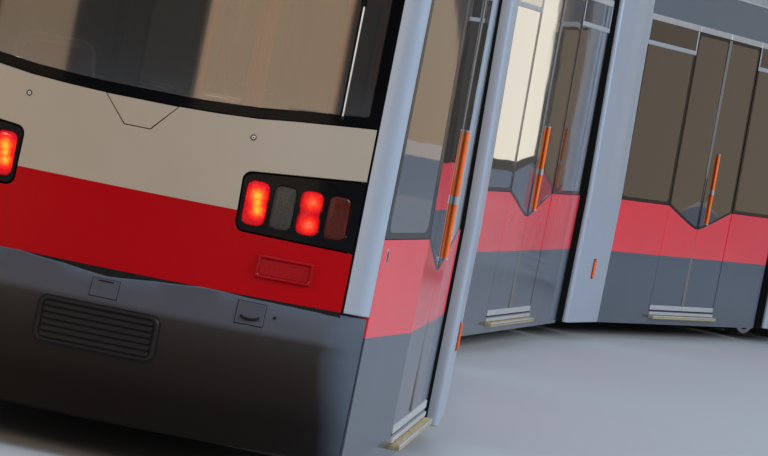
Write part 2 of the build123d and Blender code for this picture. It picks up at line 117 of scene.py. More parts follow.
# ================= camera =================
def camera():
    f, yaw, pitch, roll = 4142.19, radians(4.9221), radians(-2.3260), radians(11.2061)
    fwd = Vector((-sin(yaw) * cos(pitch), cos(yaw) * cos(pitch), sin(pitch)))
    right = Vector((cos(yaw), sin(yaw), 0))
    up = right.cross(fwd)
    xi = cos(roll) * right + sin(roll) * up
    yi = sin(roll) * right - cos(roll) * up
    base = Matrix.Translation((PLACE["rear_car"][0] - ORIGIN[0], PLACE["rear_car"][1] - ORIGIN[1], RAIL)) @ Matrix.Rotation(radians(HEAD["rear_car"]), 4, "Z")
    m = Matrix.Identity(4)
    for k, v in enumerate((xi, -yi, -fwd)):
        for r in range(3):
            m[r][k] = v[r]
    for r, v in enumerate((2.3981, -19.5702, 1.7497)):
        m[r][3] = v
    cd = bpy.data.cameras.new("camera")
    cd.sensor_fit = "HORIZONTAL"
    cd.sensor_width = 36
    cd.lens = f * 36 / 768
    cd.clip_end = 300
    co = bpy.data.objects.new("camera", cd)
    bpy.context.scene.collection.objects.link(co)
    co.matrix_world = base @ m
    bpy.context.scene.camera = co


camera()


# ================= materials =================
class Graph:
    """writes the nodes of one material"""

    def __init__(self, name):
        self.m = bpy.data.materials.new(name)
        self.m.use_nodes = True
        self.t = self.m.node_tree
        self.b = self.t.nodes["Principled BSDF"]
        self.out = self.t.nodes["Material Output"]
        self._co = None

    def node(self, kind, props=None, **inputs):
        n = self.t.nodes.new("ShaderNode" + kind)
        for k, v in (props or {}).items():
            setattr(n, k, v)
        for k, v in inputs.items():
            key = int(k[1:]) if k[0] == "i" and k[1:].isdigit() else k.replace("_", " ")
            self.set(n.inputs[key], v)
        return n

    def set(self, socket, v):
        if isinstance(v, bpy.types.NodeSocket):
            self.t.links.new(v, socket)
        elif isinstance(v, bpy.types.Node):
            self.t.links.new(v.outputs[0], socket)
        else:
            socket.default_value = v if not isinstance(v, tuple) or len(v) != 3 or socket.type != "RGBA" else (*v, 1)

    def bsdf(self, **inputs):
        for k, v in inputs.items():
            self.set(self.b.inputs[k.replace("_", " ")], v)

    @property
    def co(self):
        if self._co is None:
            self._co = self.t.nodes.new("ShaderNodeTexCoord").outputs["Object"]
        return self._co

    def xyz(self):
        return self.node("SeparateXYZ", Vector=self.co).outputs

    def math(self, op, a, b=0.0, clamp=False):
        return self.node("Math", {"operation": op, "use_clamp": clamp}, i0=a, i1=b).outputs[0]

    def noise(self, scale, detail=3.0, rough=.55, stretch=None):
        v = self.co
        if stretch:
            v = self.node("Mapping", Vector=v, Scale=stretch).outputs[0]
        return self.node("TexNoise", Vector=v, Scale=scale, Detail=detail, Roughness=rough).outputs["Fac"]

    def ramp(self, fac, stops, mode="LINEAR"):
        r = self.node("ValToRGB", Fac=fac)
        r.color_ramp.interpolation = mode
        els = r.color_ramp.elements
        while len(els) < len(stops):
            els.new(.5)
        for e, (p, c) in zip(els, stops):
            e.position = p
            e.color = (*c, 1) if len(c) == 3 else c
        return r.outputs[0]

    def span(self, fac, a, b, c, d):
        return self.node("MapRange", Value=fac, From_Min=a, From_Max=b, To_Min=c, To_Max=d).outputs[0]

    def mix(self, fac, a, b, blend="MIX"):
        n = self.node("Mix", {"data_type": "RGBA", "blend_type": blend})
        self.set(n.inputs[0], fac)
        self.set(n.inputs[6], a)
        self.set(n.inputs[7], b)
        return n.outputs[2]

    def bump(self, height, strength=.2, distance=.002):
        return self.node("Bump", Height=height, Strength=strength, Distance=distance).outputs[0]


def paint(name, colour, rough=.28, coat=.6, metal=0.0, vary=.10, dirt=.25, grain=.02, dirt_top=.75, blend=False, spec=.5, coat_rough=.06):
    """lacquered panel: colour is a tuple, or a list of (height, colour) steps; a little road dust low down"""
    g = Graph(name)
    z = g.xyz()[2]
    if isinstance(colour, list):
        base = g.ramp(g.math("DIVIDE", z, 4.0), [(h / 4.0, c) for h, c in colour], "LINEAR" if blend else "CONSTANT")
    else:
        base = colour
    n = g.noise(2.2, 4.0, .6)
    shade = g.mix(g.span(n, .3, .7, 0.0, vary), base, (.02, .02, .022))
    low = g.span(z, .1, dirt_top, dirt, 0.0)
    speck = g.noise(7.0, 5.0, .6, (1, 1, .25))
    dust = g.math("MULTIPLY", low, g.span(speck, .3, .75, .5, 1.0), True)
    g.bsdf(Base_Color=g.mix(dust, shade, (.115, .10, .085)), Metallic=metal, Coat_Weight=coat, Coat_Roughness=coat_rough,
           Roughness=g.span(g.noise(4.0, 2.0), .3, .7, rough * .94, rough * 1.08))
    g.b.inputs["Specular IOR Level"].default_value = spec
    if grain:
        g.bsdf(Normal=g.bump(g.noise(1.3, 2.0, .4), grain, .02))
    return g.m


def moulded(name, axis):
    """grained plastic of the bumper, with light painted in: pale blue-grey painted sky light where it turns up and to
    the sides, painted shade on what looks straight back or down
    """
    g = Graph(name)
    z = g.xyz()[2]
    n = g.noise(3.0, 4.0, .6)
    # pale blue-grey tone: painted sky light for the faces that turn up or to the sides
    clean = g.mix(g.span(n, .3, .7, 0.0, .10), (.085, .108, .140), (.03, .03, .032))
    # painted light by height: near black low down and dark on the front (painted shade), paler on the sloping top
    # (painted sky light)
    painted_light_ramp = g.ramp(g.math("DIVIDE", z, 4.0), [(0, (.0030, .0022, .0018)), (.075, (.0052, .0036, .0028)), (.125, (.0180, .0140, .0120)), (.1545, (.0290, .0250, .0240)),
                                             (.158, (.064, .067, .080)), (.20, (.060, .064, .079))], "LINEAR")
    d = g.math("ABSOLUTE", g.node("VectorMath", {"operation": "DOT_PRODUCT"}, i0=g.node("TexCoord").outputs["Normal"], i1=tuple(axis)).outputs["Value"])
    down = g.math("MULTIPLY", g.math("MINIMUM", g.node("SeparateXYZ", Vector=g.node("TexCoord").outputs["Normal"]).outputs[2], 0.0), 2.0)
    # faces looking straight back or down take the painted shade, the rest the painted sky light
    f = g.span(g.math("SUBTRACT", g.math("ADD", d, g.math("MULTIPLY", g.noise(5.0, 3.0), .03)), down), .80, .90, 0.0, 1.0)
    g.bsdf(Base_Color=g.mix(f, clean, painted_light_ramp), Roughness=g.span(g.noise(30.0, 4.0), .3, .7, .42, .58), Normal=g.bump(g.noise(420.0, 2.0), .12, .0006))
    g.b.inputs["Specular IOR Level"].default_value = .10
    return g.m


def plain(name, colour, rough=.5, metal=0.0, vary=.12, scale=30.0, bump=.15, dist=.0006, coat=0.0, dark=(.01, .01, .01), stretch=None, spec=.5):
    g = Graph(name)
    n = g.noise(scale, 4.0, .6, stretch)
    g.bsdf(Base_Color=g.mix(g.span(n, .3, .7, 0.0, vary), colour, dark), Metallic=metal, Coat_Weight=coat,
           Roughness=g.span(g.noise(scale * .4, 3.0), .3, .7, max(.02, rough * .85), min(1, rough * 1.15)))
    g.b.inputs["Specular IOR Level"].default_value = spec
    if bump:
        g.bsdf(Normal=g.bump(n, bump, dist))
    return g.m


def glass(name, tint, rough=.02, strength=.9, base=(.9, .9, .9), floor_=.02, wave=(1.7, .014)):
    """thin pane: see-through with a tint, mirrors more at a glance"""
    g = Graph(name)
    g.t.nodes.remove(g.b)
    fres = g.node("Fresnel", IOR=1.52)
    gl = g.node("BsdfGlossy", Color=base, Roughness=rough)
    tr = g.node("BsdfTransparent", Color=tint)
    g.set(gl.inputs["Normal"], g.bump(g.noise(wave[0], 2.0, .4), .05, wave[1]))
    f = g.math("MULTIPLY", fres.outputs[0], strength * 1.5, True)
    mx = g.node("MixShader", Fac=g.math("ADD", f, floor_, True))
    g.t.links.new(tr.outputs[0], mx.inputs[1])
    g.t.links.new(gl.outputs[0], mx.inputs[2])
    g.t.links.new(mx.outputs[0], g.out.inputs["Surface"])
    return g.m


def lens(name, colour, spots=(), power=0.0, glow=(1, .35, .02), rough=.08, dark=.25, deep=(.32, 0, .004), mid=(.95, .012, .008), coat=.22):
    """moulded lens: fine ribs, and bright places where its lamps burn. spots are (point, radius)"""
    g = Graph(name)
    x, y, z = g.xyz()
    ribs = g.math("SINE", g.math("MULTIPLY", x, 700.0))
    cells = g.node("TexVoronoi", Vector=g.co, Scale=150.0).outputs["Distance"]
    g.bsdf(Base_Color=g.mix(g.span(cells, 0.0, .8, 0.0, dark), colour, (0, 0, 0)), Roughness=rough, Coat_Weight=coat, Coat_Roughness=.03,
           Normal=g.bump(g.math("ADD", cells, g.math("MULTIPLY", ribs, .15)), .5, .0012))
    g.b.inputs["Specular IOR Level"].default_value = .14
    if power:
        total = None
        for p, r in spots:
            d = g.node("VectorMath", {"operation": "DISTANCE"}, i0=g.co, i1=tuple(p)).outputs["Value"]
            w = g.span(d, 0.0, r, 1.0, 0.0)
            total = w if total is None else g.math("MAXIMUM", total, w)
        wob = g.math("MULTIPLY", g.noise(70.0, 3.0), .5)
        t = g.math("SUBTRACT", g.math("ADD", total, wob), .25)
        g.bsdf(Emission_Color=g.ramp(t, [(0.0, deep), (.34, mid), (.62, (1, mid[1] + (glow[1] - mid[1]) * .35, .012)), (.90, glow)]), Emission_Strength=power)
    return g.m


SILVER = (.40, .465, .555)
BLUEGREY = (.030, .047, .072)
RED = (.72, .0010, .012)
# the side red darkened for the end face: painted shade
RED_IN_PAINTED_SHADE = (.40, .0002, .003)
PANEL = (.410, .355, .280)
M = {}
M["side"] = paint("paint_side", [(0, BLUEGREY), (ZRB, RED), (ZRT + .002, (.012, .012, .014)), (ZWT - .004, (.26, .30, .34))], rough=.24, coat=.42, dirt=.10, spec=.22, grain=0)
M["silver"] = paint("paint_silver", SILVER, rough=.34, coat=.25, metal=.45, dirt=.08, vary=.04, grain=0)
# end face: the red below 1.07 m is the darkened copy of the side red (painted shade), pale panel above
M["panel"] = paint("paint_face", [(0, RED_IN_PAINTED_SHADE), (1.070, PANEL)], rough=.34, coat=.09, dirt=.0, vary=.06, spec=.04, coat_rough=.04)
M["header"] = paint("paint_header", PANEL, rough=.34, coat=.09, dirt=0, spec=.04)
M["cant"] = paint("paint_cantrail", (.052, .090, .128), rough=.24, coat=.5, dirt=0, spec=.3, grain=0, vary=.05)
for n_ in ("rear_car", "front_car"):
    M["bumper_" + n_] = moulded("bumper_" + n_, MAT[n_].to_3x3() @ Vector((0, 1, 0)))
M["pad"] = plain("bumper_rubber", (.013, .0115, .0115), rough=.5, bump=.25, scale=60, spec=.16)
M["gloss"] = plain("black_gloss", (.002, .002, .0025), rough=.14, coat=.05, vary=0.0, bump=.0, spec=.12)
M["frit"] = plain("black_border", (.0015, .0015, .002), rough=.12, coat=.03, vary=0.0, bump=.0, spec=.10)
M["rubber"] = plain("black_rubber", (.006, .006, .007), rough=.8, bump=.2, scale=80, spec=.2)
M["finger"] = plain("edge_rubber", (.15, .14, .135), rough=.6, bump=.3, scale=70, stretch=(1, 1, .1))
M["alu"] = plain("brushed_aluminium", (.70, .71, .72), rough=.34, metal=.7, vary=.15, scale=60, stretch=(1, .06, 1), bump=.1)
M["steel"] = plain("pole_steel", (.55, .56, .58), rough=.22, metal=1.0, vary=.1, scale=20)
M["orange"] = plain("grab_orange", (.95, .16, .012), rough=.35, coat=.4, vary=.08, scale=18)
M["tread"] = plain("worn_tread", (.50, .42, .24), rough=.55, metal=.3, vary=.5, scale=45, bump=.5, dist=.001, dark=(.12, .09, .05))
M["lining"] = plain("light_lining", (.30, .30, .29), rough=.5, vary=.08, scale=6, bump=.05)
M["ceiling"] = plain("ceiling", (.45, .45, .43), rough=.55, vary=.05, scale=5, bump=.05)
M["seat_shell"] = plain("seat_shell", (.13, .135, .14), rough=.4, vary=.1, scale=14, coat=.2)
M["seat_frame"] = plain("seat_frame", (.50, .50, .49), rough=.4, vary=.1, scale=14, coat=.2)
M["seat_red"] = plain("seat_fabric", (.36, .012, .016), rough=.9, vary=.35, scale=240, bump=.6, dist=.0012)
M["dark"] = plain("dark_metal", (.045, .047, .05), rough=.55, metal=.5, vary=.3, scale=12, bump=.3)
M["cast"] = plain("cast_steel", (.13, .12, .11), rough=.6, metal=.7, vary=.4, scale=16, bump=.4, dark=(.05, .03, .02))
M["tyre"] = plain("rolled_tyre", (.52, .51, .50), rough=.25, metal=1.0, vary=.3, scale=30, bump=.1)
M["gaiter"] = plain("gaiter_cloth", (.010, .010, .012), rough=.9, vary=.3, scale=90, bump=.6, dist=.001, spec=.15)
M["roof"] = paint("roof_grey", (.30, .32, .33), rough=.5, coat=.1, dirt=0, vary=.25)
M["fairing"] = paint("fairing_grey", (.42, .44, .45), rough=.4, coat=.2, dirt=0, vary=.2)
M["panto"] = plain("pantograph_paint", (.33, .045, .03), rough=.45, vary=.2, scale=22)
M["carbon"] = plain("contact_carbon", (.02, .02, .021), rough=.5, vary=.3, scale=40, bump=.4)
M["ceramic"] = plain("insulator", (.25, .06, .03), rough=.15, coat=.8, vary=.1)
M["glass"] = glass("window_glass", (.62, .61, .58), strength=1.0, rough=.02)
M["screen"] = glass("windscreen_glass", (.50, .46, .41), rough=.07, strength=1.0, floor_=.09, wave=(3.2, .010))
M["vent_glass"] = glass("vent_glass", (.10, .10, .10), strength=.8)
M["hopper"] = plain("vent_frame", (.42, .45, .49), rough=.35, metal=.4, vary=.1)
M["lamp_off"] = lens("lens_clear", (.065, .060, .050), dark=.45)
M["lamp_amber"] = lens("lens_amber", (.095, .012, .006), dark=.4)
M["reflex"] = lens("reflector_red", (.34, .0004, .004), dark=.15, coat=.07)
M["marker"] = lens("marker_orange", (.80, .14, .03), dark=.15)


# ================= mesh helpers =================
class Piece:
    """vertices and faces of one visible piece, in the axes of its unit"""

    def __init__(self, name):
        self.name, self.mats, self.v, self.f, self.k = name, [], [], [], []

    def slot(self, m):
        m = M[m] if isinstance(m, str) else m
        if m not in self.mats:
            self.mats.append(m)
        return self.mats.index(m)

    def add(self, verts, faces, m, xf=None):
        o = len(self.v)
        k = self.slot(m)
        self.v += [tuple(xf @ Vector(p)) if xf else tuple(p) for p in verts]
        for f in faces:
            self.f.append([i + o for i in f])
            self.k.append(k)

    def build(self, unit, replaces=(), body=None, local=None, sharp=32, ride=True):
        me = bpy.data.meshes.new(self.name)
        me.from_pydata(self.v, [], self.f)
        me.transform(MAT[unit] if local is None else MAT[unit] @ local)
        for m in self.mats:
            me.materials.append(m)
        me.polygons.foreach_set("material_index", self.k)
        bm = bmesh.new()
        bm.from_mesh(me)
        bmesh.ops.remove_doubles(bm, verts=bm.verts, dist=1e-6)
        bmesh.ops.recalc_face_normals(bm, faces=bm.faces)
        bm.to_mesh(me)
        bm.free()
        me.polygons.foreach_set("use_smooth", [True] * len(me.polygons))
        me.set_sharp_from_angle(angle=radians(sharp))
        ob = bpy.data.objects.new(self.name, me)
        bpy.context.scene.collection.objects.link(ob)
        if ride:
            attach(ob, body or unit)
        for n in replaces:
            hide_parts(n)
        return ob


def area(loop):
    return sum(a[0] * b[1] - b[0] * a[1] for a, b in zip(loop, loop[1:] + loop[:1])) / 2


def round_poly(pts, r, n=4):
    """rounds the corners of a closed outline; r is one radius or one for each corner"""
    out = []
    k = len(pts)
    rs = r if isinstance(r, (list, tuple)) else [r] * k
    for i in range(k):
        p, a, b = Vector(pts[i][:2]), Vector(pts[i - 1][:2]), Vector(pts[(i + 1) % k][:2])
        if rs[i] <= 0:
            out.append(tuple(p))
            continue
        u, v = (a - p).normalized(), (b - p).normalized()
        half = u.angle(v) / 2
        t = min(rs[i] / max(tan(half), 1e-6), (a - p).length * .49, (b - p).length * .49)
        rad = t * tan(half)
        c = p + (u + v).normalized() * (rad / sin(half))
        s, e = p + u * t, p + v * t
        a0, a1 = atan2(s.y - c.y, s.x - c.x), atan2(e.y - c.y, e.x - c.x)
        da = (a1 - a0 + pi) % (2 * pi) - pi
        for j in range(n + 1):
            w = a0 + da * j / n
            out.append((c.x + rad * cos(w), c.y + rad * sin(w)))
    return out


def rrect(u0, u1, v0, v1, r, n=4):
    return round_poly([(u0, v0), (u1, v0), (u1, v1), (u0, v1)], r, n)


def inset(loop, d):
    """moves a loop to its left by d"""
    out = []
    k = len(loop)
    for i in range(k):
        p, a, b = Vector(loop[i]), Vector(loop[i - 1]), Vector(loop[(i + 1) % k])
        e1, e2 = (p - a), (b - p)
        if e1.length < 1e-9 or e2.length < 1e-9:
            e1 = e2 = (b - a)
        n1 = Vector((-e1.y, e1.x)).normalized()
        n2 = Vector((-e2.y, e2.x)).normalized()
        q = n1 + n2
        den = 1 + n1.dot(n2)
        out.append(tuple(p + (q * (d / den) if den > .25 else n1 * d)))
    return out


def clean(loop):
    out = []
    for p in loop:
        if not out or (Vector(p) - Vector(out[-1])).length > 1e-5:
            out.append(tuple(p))
    if (Vector(out[0]) - Vector(out[-1])).length < 1e-5:
        out.pop()
    return out


def plate(P, m, outer, holes, fn, d0, d1, e=.0015, us=(), vs=(), back=None):
    """a panel: outline with holes in (u, v), its front at depth d0 and its back at d1, edges broken by e.
    fn(u, v, d) gives the point in space; us and vs are lines where a curved panel is divided"""
    loops = []
    for i, l in enumerate([outer] + list(holes)):
        l = clean(l)
        if (area(l) > 0) != (i == 0):
            l = l[::-1]
        loops.append(l)
    front, rim = [], []
    for l in loops:
        q = inset(l, e)
        lo, lf = [], []
        k = len(l)
        for i in range(k):
            a, b = Vector(l[i]), Vector(l[(i + 1) % k])
            a2, b2 = Vector(q[i]), Vector(q[(i + 1) % k])
            ts = [0.0]
            for axis, cuts in ((0, us), (1, vs)):
                for c in cuts:
                    if abs(b2[axis] - a2[axis]) > 1e-7:
                        t = (c - a2[axis]) / (b2[axis] - a2[axis])
                        if 1e-4 < t < 1 - 1e-4:
                            ts.append(t)
            for t in sorted(set(ts)):
                lo.append(tuple(a.lerp(b, t)))
                lf.append(tuple(a2.lerp(b2, t)))
        front.append(lf)
        rim.append(lo)
    flat_f = [p for l in front for p in l]
    flat_r = [p for l in rim for p in l]
    tris = tessellate_polygon([[Vector((p[0], p[1], 0)) for p in l] for l in front])
    bm = bmesh.new()
    bv = [bm.verts.new((p[0], p[1], 0)) for p in flat_f]
    bm.verts.ensure_lookup_table()
    for t in tris:
        if len(set(t)) == 3:
            try:
                bm.faces.new([bv[i] for i in t])
            except ValueError:
                pass
    for axis, cuts in ((0, us), (1, vs)):
        for c in cuts:
            bmesh.ops.bisect_plane(bm, geom=bm.verts[:] + bm.edges[:] + bm.faces[:], dist=1e-6,
                                   plane_co=(c, c, 0), plane_no=(1, 0, 0) if axis == 0 else (0, 1, 0))
    bmesh.ops.join_triangles(bm, faces=bm.faces[:], angle_face_threshold=.1, angle_shape_threshold=3.0)
    index = {}
    pts = []
    for i, v in enumerate(bv):
        index[v] = i
        pts.append((v.co.x, v.co.y))
    for v in bm.verts:
        if v not in index:
            index[v] = len(pts)
            pts.append((v.co.x, v.co.y))
    faces = [[index[v] for v in f.verts] for f in bm.faces]
    bm.free()
    n = len(flat_f)
    N = len(pts)
    verts = [fn(u, v, d0) for u, v in pts]                                   # front
    verts += [fn(u, v, d0 + e) for u, v in flat_r]                           # broken edge
    verts += [fn(*(flat_r[i] if i < n else p), d1) for i, p in enumerate(pts)]   # back
    P.add(verts, faces + [], m)
    base = len(P.v) - len(verts)
    k = P.slot(m)
    kb = P.slot(back) if back else k
    o = 0
    for l in front:
        c = len(l)
        for i in range(c):
            a, b = o + i, o + (i + 1) % c
            P.f.append([base + a, base + b, base + N + b, base + N + a])
            P.k.append(k)
            P.f.append([base + N + a, base + N + b, base + N + n + b, base + N + n + a])
            P.k.append(k)
        o += c
    for f in faces:
        P.f.append([base + N + n + i for i in reversed(f)])
        P.k.append(kb)


def loft(P, m, rings, caps=True, closed=True, xf=None):
    k = len(rings[0])
    verts = [p for r in rings for p in r]
    faces = []
    for j in range(len(rings) - 1):
        for i in range(k if closed else k - 1):
            a, b = j * k + i, j * k + (i + 1) % k
            faces.append([a, b, b + k, a + k])
    if caps:
        faces.append(list(range(k))[::-1])
        faces.append([(len(rings) - 1) * k + i for i in range(k)])
    P.add(verts, faces, m, xf)


def rbox(P, m, x0, x1, y0, y1, z0, z1, e=.003, xf=None):
    x0, x1 = sorted((x0, x1))
    y0, y1 = sorted((y0, y1))
    z0, z1 = sorted((z0, z1))
    e = min(e, (x1 - x0) * .45, (y1 - y0) * .45, (z1 - z0) * .45)

    def ring(z, s):
        a, b, c, d = x0 + s, x1 - s, y0 + s, y1 - s
        return [(a + e, c, z), (b - e, c, z), (b, c + e, z), (b, d - e, z), (b - e, d, z), (a + e, d, z), (a, d - e, z), (a, c + e, z)]
    loft(P, m, [ring(z0, e * .9), ring(z0 + e, 0), ring(z1 - e, 0), ring(z1, e * .9)], xf=xf)


def tube(P, m, pts, r, n=10, bend=.04, xf=None, caps=True):
    """round bar along straight runs with rounded corners"""
    pts = [Vector(p) for p in pts]
    path = [pts[0]]
    for i in range(1, len(pts) - 1):
        a, p, b = pts[i - 1], pts[i], pts[i + 1]
        u, v = (a - p), (b - p)
        t = min(bend, u.length * .45, v.length * .45)
        s, e = p + u.normalized() * t, p + v.normalized() * t
        for j in range(6):
            w = j / 5
            path.append(s.lerp(p, w).lerp(p.lerp(e, w), w))
    path.append(pts[-1])
    rings = []
    up = None
    for i, p in enumerate(path):
        d = (path[min(i + 1, len(path) - 1)] - path[max(i - 1, 0)]).normalized()
        if up is None:
            up = d.orthogonal().normalized()
        up = (up - d * up.dot(d)).normalized()
        side = d.cross(up)
        rings.append([tuple(p + (up * cos(2 * pi * k / n) + side * sin(2 * pi * k / n)) * r) for k in range(n)])
    loft(P, m, rings, caps=caps, xf=xf)


def lathe(P, m, prof, centre, axis, n=24, xf=None):
    """turned shape: prof is (distance along the axis, radius)"""
    a = Vector(axis).normalized()
    u = a.orthogonal().normalized()
    v = a.cross(u)
    c = Vector(centre)
    rings = []
    for h, r in prof:
        rings.append([tuple(c + a * h + (u * cos(2 * pi * k / n) + v * sin(2 * pi * k / n)) * max(r, 1e-4)) for k in range(n)])
    loft(P, m, rings, xf=xf)


def screw(P, m, at, axis, r=.007, xf=None):
    lathe(P, m, [(-.004, r), (.0, r), (.0015, r * .8), (.0015, r * .42), (-.0005, r * .30)], at, axis, 12, xf)


def side_x(z):
    return W - max(0.0, z - ZRT) * TUMBLE


def col_x(z):
    return W + PROUD - max(0.0, z - ZRT) * TUMBLE * 1.3


def side_map(s):
    """right side s = 1, left side s = -1: (y, z, depth)"""
    return lambda y, z, d: (s * (side_x(z) - d), y, z)


def end_map(s):
    def fn(y, z, d):
        x = side_x(z)
        if y < YK:
            k = (YK - y) / (YK - TY)
            x += (TX - x) * k
        return (s * (x - d), y, z)
    return fn


def face_map(x, z, d):
    n = sqrt(max(FR * FR - x * x, 0)) / FR
    return ((FR - d) * x / FR, FC - (FR - d) * n, z)


def steps(a, b, s):
    n = max(1, int(round(abs(b - a) / s)))
    return [a + (b - a) * i / n for i in range(1, n)]


# ================= carried-over nodes: floors and roofs =================
def by_side(name, up, down, edge=.3, rough_up=.6, rough_down=.6, scale=60.0, speck=.35, metal=0.0):
    """one finish on what faces up and outward, another on what faces down"""
    g = Graph(name)
    nz = g.node("SeparateXYZ", Vector=g.node("TexCoord").outputs["Normal"]).outputs[2]
    n = g.noise(scale, 4.0, .7)
    top = g.mix(g.span(n, .42, .62, 0.0, speck), up, (.02, .02, .02))
    big = g.mix(g.span(g.noise(.7, 3.0), .35, .7, 0.0, .18), top, (.05, .05, .05))
    f = g.math("GREATER_THAN", nz, edge)
    g.bsdf(Base_Color=g.mix(f, down, big), Roughness=g.span(f, 0, 1, rough_down, rough_up), Metallic=metal,
           Normal=g.bump(n, .15, .001))
    return g.m


M["floor"] = by_side("floor_vinyl", (.12, .125, .13), (.05, .05, .052), scale=160.0)
M["roof_skin"] = by_side("roof_skin", (.30, .32, .33), (.58, .58, .56), edge=-.25, scale=14.0, speck=.18, rough_up=.55)


def dress(node, m):
    ob = NODES[node]
    ob.data.materials.clear()
    ob.data.materials.append(M[m])
    for p in ob.data.polygons:
        p.material_index = 0


# ================= doors =================
def vline(t):
    """lower edge of the door glass, t from the meeting edge: round at the bottom, then nearly straight"""
    c, q = .13, t / (LEAF - .006)
    return ZDIP + (ZRT - ZDIP) * (sqrt(q * q + c * c) - c) / (sqrt(1 + c * c) - c)


def door(P, yc, s, mp):
    """two plug leaves round yc on side s"""
    for j in (-1, 1):
        ts = [(i / 15) ** 1.6 * (LEAF - .010) + .004 for i in range(16)]
        low = [(yc + j * .004, ZDB)] + [(yc + j * (LEAF - .006), ZDB)] + [(yc + j * t, vline(t)) for t in reversed(ts)]
        plate(P, "side", low, [], mp, .002, .040, .003, back="lining")
        up = [(yc + j * t, vline(t) + .002) for t in ts] + [(yc + j * (LEAF - .006), ZWT - .004), (yc + j * .004, ZWT - .004)]
        m0, m1 = .034, LEAF - .040
        tg = [m0 + (i / 12) ** 1.5 * (m1 - m0) for i in range(13)]
        hole = [(yc + j * t, vline(t) + .022) for t in tg] + [(yc + j * m1, ZWT - .05), (yc + j * m0, ZWT - .05)]
        r = [.012] + [0] * 11 + [.02, .05, .03]
        hole = round_poly(hole, r, 4)
        plate(P, "frit", up, [hole], mp, .003, .036, .002, back="rubber")
        plate(P, "glass", hole, [], mp, .004, .009, .0005)
        # aluminium kick strip and sill strip
        plate(P, "alu", [(yc + j * .010, ZDB + .004), (yc + j * (LEAF - .014), ZDB + .004), (yc + j * (LEAF - .014), ZDB + .040), (yc + j * .010, ZDB + .040)],
              [], mp, -.006, .003, .003)
        # rubber along the outer post
        plate(P, "rubber", [(yc + j * (LEAF - .007), ZDB), (yc + j * (LEAF + .0075), ZDB), (yc + j * (LEAF + .0075), ZWT), (yc + j * (LEAF - .007), ZWT)],
              [], mp, .010, .050, .001)
    plate(P, "rubber", [(yc - .006, ZDB), (yc + .006, ZDB), (yc + .006, ZWT - .004), (yc - .006, ZWT - .004)], [], mp, .006, .036, .001)
    # ribbed closing edges, one on each leaf
    for j in (-1, 1):
        a, b = sorted((yc + j * .002, yc + j * .030))
        plate(P, "finger", [(a, ZDB + .045), (b, ZDB + .045), (b, ZWT - .030), (a, ZWT - .030)], [], mp, -.004, .004, .003)
    # hand bar beside the meeting edge of the front leaf, in two halves with a pale clamp between them
    y = yc + .20
    for z0, z1 in ((.950, 1.200), (1.230, 1.525)):
        tube(P, "orange", [mp(y, z0, -.004), mp(y, z1, -.004)], .0105, 12)
    tube(P, "hopper", [mp(y, 1.195, -.004), mp(y, 1.235, -.004)], .0124, 12)
    for z in (.953, 1.523):
        tube(P, "hopper", [mp(y, z - .004, -.004), mp(y, z + .004, -.004)], .0124, 12)


def door_surround(P, yc, s, mp):
    """sill strip and tread plate under a door, and the pale rails over its leaves"""
    for j in (-1, 1):
        a, b = sorted((yc + j * .004, yc + j * (LEAF - .004)))
        rail(P, a, b, mp)
    plate(P, "alu", [(yc - LEAF + .01, ZDB - .034), (yc + LEAF - .01, ZDB - .034), (yc + LEAF - .01, ZDB - .012), (yc - LEAF + .01, ZDB - .012)],
          [], mp, -.010, .004, .002)
    y0, y1 = yc - LEAF + .010, yc + LEAF - .010
    z0, z1 = ZDB - .062, ZDB - .038
    rbox(P, "tread", s * (W - .02), s * (W + .046), y0, y1, z0, z1 - .004, .003)
    n = 46
    for i in range(n):
        y = y0 + .02 + (y1 - y0 - .04) * i / (n - 1)
        rbox(P, "tread", s * (W - .012), s * (W + .042), y - .007, y + .007, z1 - .006, z1, .002)
    rbox(P, "alu", s * (W + .038), s * (W + .046), y0, y1, z1 - .012, z1, .002)


# ================= windows =================
def rail(P, y0, y1, mp, us=()):
    """pale rail along the top of a window or a door leaf"""
    plate(P, "alu", [(y0, ZWT - .022), (y1, ZWT - .022), (y1, ZWT + .022), (y0, ZWT + .022)], [], mp, -.0034, .012, .003, us=us)


def window(P, y0, y1, hole, mp, hopper=None, g="glass", us=()):
    """one bonded pane from y0 to y1 over its hole (hy0, hy1, z0, z1), with a tilting vent above the line hopper"""
    hy0, hy1, hz0, hz1 = hole
    out = rrect(y0, y1, ZRT + .003, ZWT - .003, .012, 3)
    inn = rrect(hy0, hy1, hz0, hz1, .05, 5)
    plate(P, "frit", out, [inn], mp, .001, .008, .001, us=us)
    plate(P, g, inn, [], mp, .0015, .0065, .0004, us=us)
    rail(P, y0, y1, mp, us)
    if hopper:
        # tilting vent: dark pane between a pale lower bar and two short posts
        plate(P, "hopper", [(y0 + .004, hopper - .016), (y1 - .004, hopper - .016), (y1 - .004, hopper + .016), (y0 + .004, hopper + .016)], [], mp, -.006, .008, .003, us=us)
        for a in (y0 + .003, y1 - .025):
            plate(P, "hopper", [(a, hopper + .017), (a + .022, hopper + .017), (a + .022, ZWT - .023), (a, ZWT - .023)], [], mp, -.004, .008, .002, us=us)
        plate(P, "vent_glass", [(y0 + .026, hopper + .018), (y1 - .026, hopper + .018), (y1 - .026, ZWT - .024), (y0 + .026, ZWT - .024)], [], mp, -.001, .0012, .0005, us=us)
        for k in (.2, .8):
            y = hy0 + (hy1 - hy0) * k
            plate(P, "gloss", rrect(y - .03, y + .03, hopper + .026, hopper + .046, .006, 3), [], mp, .012, .03, .002)


